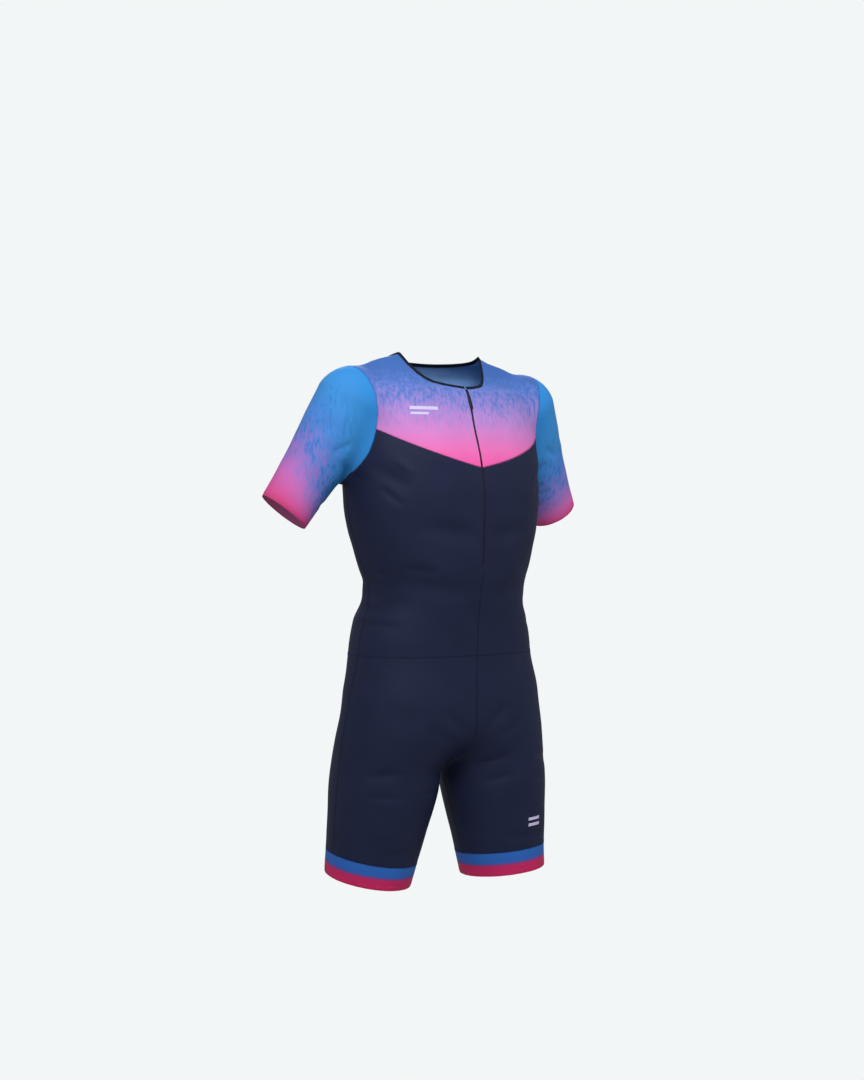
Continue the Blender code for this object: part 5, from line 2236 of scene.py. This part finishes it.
@dataclass
class Stitching(Assembly):
    """The threads of the seams and hems, laid on the cloth."""

    # Real zigzag stitches are 1.5 to 2 mm apart; at 2.4 mm they show as stitches
    pitch: float = 2.4 * MM
    width: float = 3.6 * MM
    thread: float = 0.19 * MM
    lift: float = 0.10 * MM
    sink: float = 0.25 * MM
    dash: float = 2.0 * MM
    dash_gap: float = 0.6 * MM
    beside_zip: float = 2 * MM
    # Which ring of a sleeve or band its hem is sewn on
    hem_ring: int = -3
    sides: int = 4

    def seams(self) -> list[Row]:
        """Every row of stitches on the suit.

        Returns:
            The rows.
        """
        pattern = self.pattern
        fine = pattern.fine
        rows = []
        for side in Side:
            yoke, back = (pattern.yoke(side, facing) for facing in Facing)
            body, body_back = (pattern.body(side, facing) for facing in Facing)
            shorts = pattern.shorts(side, Facing.FRONT)
            sleeve, band = closed_rings(pattern.sleeve(side)), closed_rings(pattern.band(side))
            above = yoke[: pattern.yoke_steps_centre * fine + 1, 0][::-1]
            edge = np.concatenate((above, body[1 : pattern.zip_steps * fine, 0]))
            beside = side.value * self.beside_zip
            table = (
                ("chest_seam", yoke[0], PINK_THREAD),
                ("back_seam", back[0], PINK_THREAD),
                ("shoulder_seam", yoke[-1], BLUE_THREAD),
                ("armhole_seam", sleeve[0], BLUE_THREAD),
                ("underarm_seam", sleeve[:, 0], BLUE_THREAD),
                ("side_seam", body[pattern.armhole_steps * fine :, -1], NAVY_THREAD),
                ("waist_front", body[-1], NAVY_THREAD),
                ("waist_back", body_back[-1], NAVY_THREAD),
                ("inseam", shorts[pattern.hip_steps * fine :, 0], NAVY_THREAD),
                ("short_side_seam", shorts[:, -1], NAVY_THREAD),
                ("band_seam", band[0], NAVY_THREAD),
                ("cuff_hem", sleeve[self.hem_ring], PINK_THREAD, Stitch.STRAIGHT),
                ("leg_hem", band[self.hem_ring], PINK_THREAD, Stitch.STRAIGHT),
                ("zip_topstitch", edge, NAVY_THREAD, Stitch.STRAIGHT, beside),
            )
            rows += [Row(f"{name}_{side.word}", *rest) for name, *rest in table]
        below_zip = pattern.body(Side.RIGHT, Facing.FRONT)[(pattern.zip_steps + 1) * fine :, 0]
        rows.append(Row("centre_seam_body", below_zip, NAVY_THREAD))
        for facing in Facing:
            seam = pattern.centre_seam(facing)
            rows.append(Row(f"centre_seam_{facing.word}", seam, NAVY_THREAD))
        return rows

    def laid(self, points: Array, offset: Array | float, lift: Array | float) -> tuple[Array, Array]:
        """Thread points beside a path, on the cloth.

        Args:
            points: The path.
            offset: How far beside it each point lies.
            lift: How far above the cloth each point lies.

        Returns:
            The points and the cloth's normals there.
        """
        form = self.surface.form
        normal = form.outward(points)
        across = unit(np.cross(unit(np.gradient(points, axis=0)), normal))
        beside = points + across * np.broadcast_to(offset, len(points))[:, None]
        beside -= normal * form.distance(beside)[:, None]
        depth = self.surface.depth(beside, np.abs(offset)) - lift
        return beside - normal * depth[:, None], normal

    def zigzag(self, row: Row) -> list[tuple[Array, Array]]:
        """One thread that crosses the seam with every stitch.

        Args:
            row: The row.

        Returns:
            The thread's points and the cloth's normals there, as a list of one.
        """
        points = resampled(row.path, self.pitch / 2)
        swing = np.where(np.arange(len(points)) % 2, 0.5, -0.5) * self.width
        return [self.laid(points, swing, self.lift)]

    def straight(self, row: Row) -> list[tuple[Array, Array]]:
        """Separate stitches that dip into the cloth at both ends.

        Args:
            row: The row, of which three steps make a stitch and its gap.

        Returns:
            The points of each stitch and the cloth's normals there.
        """
        points = resampled(row.path, (self.dash + self.dash_gap) / 3)
        count = (len(points) - 1) // 3
        lift = np.tile((-self.sink, self.lift, self.lift), count)
        thread, normal = self.laid(points[: 3 * count], row.beside, lift)
        runs = []
        for i in range(0, 3 * count - 3, 3):
            ends = thread[i : i + 4].copy()
            ends[3] = (ends[2] + 2 * ends[3]) / 3
            runs.append((ends, normal[i : i + 4]))
        return runs

    def build(self) -> None:
        """Lay every row."""
        turns = np.arange(self.sides)[:, None] * (2 * math.pi / self.sides)
        for row in self.seams():
            runs = self.zigzag(row) if row.stitch is Stitch.ZIGZAG else self.straight(row)
            points, faces, count = [], [], 0
            for run, normal in runs:
                along = unit(np.gradient(run, axis=0))
                across = unit(np.cross(along, normal))
                up = np.cross(across, along)
                ring = up[:, None] * np.cos(turns) + across[:, None] * np.sin(turns)
                index = count + numbered(len(run), self.sides)
                points.append((run[:, None] + ring * self.thread).reshape(-1, 3))
                faces += [*Cloth.corners(closed_rings(index)), index[0], index[-1]]
                count += index.size
            item = add_mesh(f"stitches_{row.name}", np.concatenate(points), faces)
            finish_piece(item, row.thread)


# ---------------------------------------------------------------- studio


@dataclass
class Studio:
    """A pale round cove, soft light and the camera."""

    floor_height: float = -1.30
    floor_centre: float = 0.01
    floor_radius: float = 4.5
    cove_radius: float = 2.0
    cove_steps: int = 12
    cove_sides: int = 64
    wall_height: float = 5.0
    backdrop: str = "#f3f6f6"
    sky: float = 0.42
    camera_place: tuple = (-1.3557, -1.9805, -0.284)
    camera_azimuth: float = -34.0
    lens: float = 46.24
    light_target: tuple = (0.0, 0.0, -0.4)
    # Each softbox: its place, its size and its power
    softboxes: tuple = (
        ((-1.4, -1.9, 1.4), 1.3, 50.0),
        ((2.4, -2.2, 0.9), 1.8, 9.0),
        ((0.1, -0.9, 2.5), 1.6, 22.0),
        ((1.6, 2.6, 1.2), 1.8, 45.0),
    )

    def build(self) -> None:
        """Make the cove, the lights and the camera."""
        self.build_cove()
        scene = bpy.context.scene
        scene.world = bpy.data.worlds.new("studio")
        scene.world.use_nodes = True
        tree = scene.world.node_tree
        fill_inputs(tree, tree.nodes["Background"], {"Color": self.backdrop, "Strength": self.sky})
        scene.view_settings.view_transform = "Standard"
        for i, (place, size, power) in enumerate(self.softboxes):
            light = bpy.data.lights.new(f"softbox_{i}", "AREA")
            light.size = size
            light.energy = power
            item = add_object(light.name, light)
            item.location = place
            way = Vector(self.light_target) - item.location
            item.rotation_euler = way.to_track_quat("-Z", "Y").to_euler()
        camera = bpy.data.cameras.new("camera")
        camera.lens = self.lens
        scene.camera = add_object("camera", camera)
        scene.camera.location = self.camera_place
        scene.camera.rotation_euler = (math.pi / 2, 0, math.radians(self.camera_azimuth))

    def build_cove(self) -> None:
        """Make a floor that curves up into a wall all round."""
        turns = np.linspace(0, math.pi / 2, self.cove_steps + 1)
        radius = self.floor_radius + self.cove_radius * np.sin(turns)
        radius = np.concatenate(((self.floor_centre,), radius, radius[-1:]))[:, None]
        height = self.cove_radius * (1 - np.cos(turns))
        height = np.concatenate(((0.0,), height, (self.wall_height,)))[:, None] + self.floor_height
        ways = np.linspace(0, 2 * math.pi, self.cove_sides + 1)[:-1]
        points = np.stack((radius * np.cos(ways), radius * np.sin(ways), height + 0 * ways), -1)
        index = numbered(*points.shape[:2])
        faces = [*Cloth.corners(closed_rings(index)), index[0]]
        item = add_mesh("studio_cove", points, faces)
        item.data.shade_smooth()
        material = bpy.data.materials.new("studio_paper")
        material.use_nodes = True
        inputs = {
            "Base Color": "#000000",
            "Roughness": 1.0,
            "Specular IOR Level": 0.0,
            "Emission Color": self.backdrop,
            "Emission Strength": 1.0,
        }
        tree = material.node_tree
        fill_inputs(tree, tree.nodes["Principled BSDF"], inputs)
        item.data.materials.append(material)
        # The cove is only a plain ground to look at: the lights and the sky light the suit
        item.visible_diffuse = False
        item.visible_glossy = False


def main() -> None:
    """Build the suit's parts in order, then the studio."""
    logging.basicConfig(level=logging.INFO, format="%(message)s")
    form = BodyForm()
    pattern = SuitPattern(form)
    surface = ClothSurface(form)
    for part in (Yoke, Body, Shorts, LegBands, Sleeves, NeckBinding, Zip, Stitching):
        LOG.info("-- %s", part.__name__)
        part(pattern, surface).build()
    Studio().build()


if __name__ == "__main__":
    main()
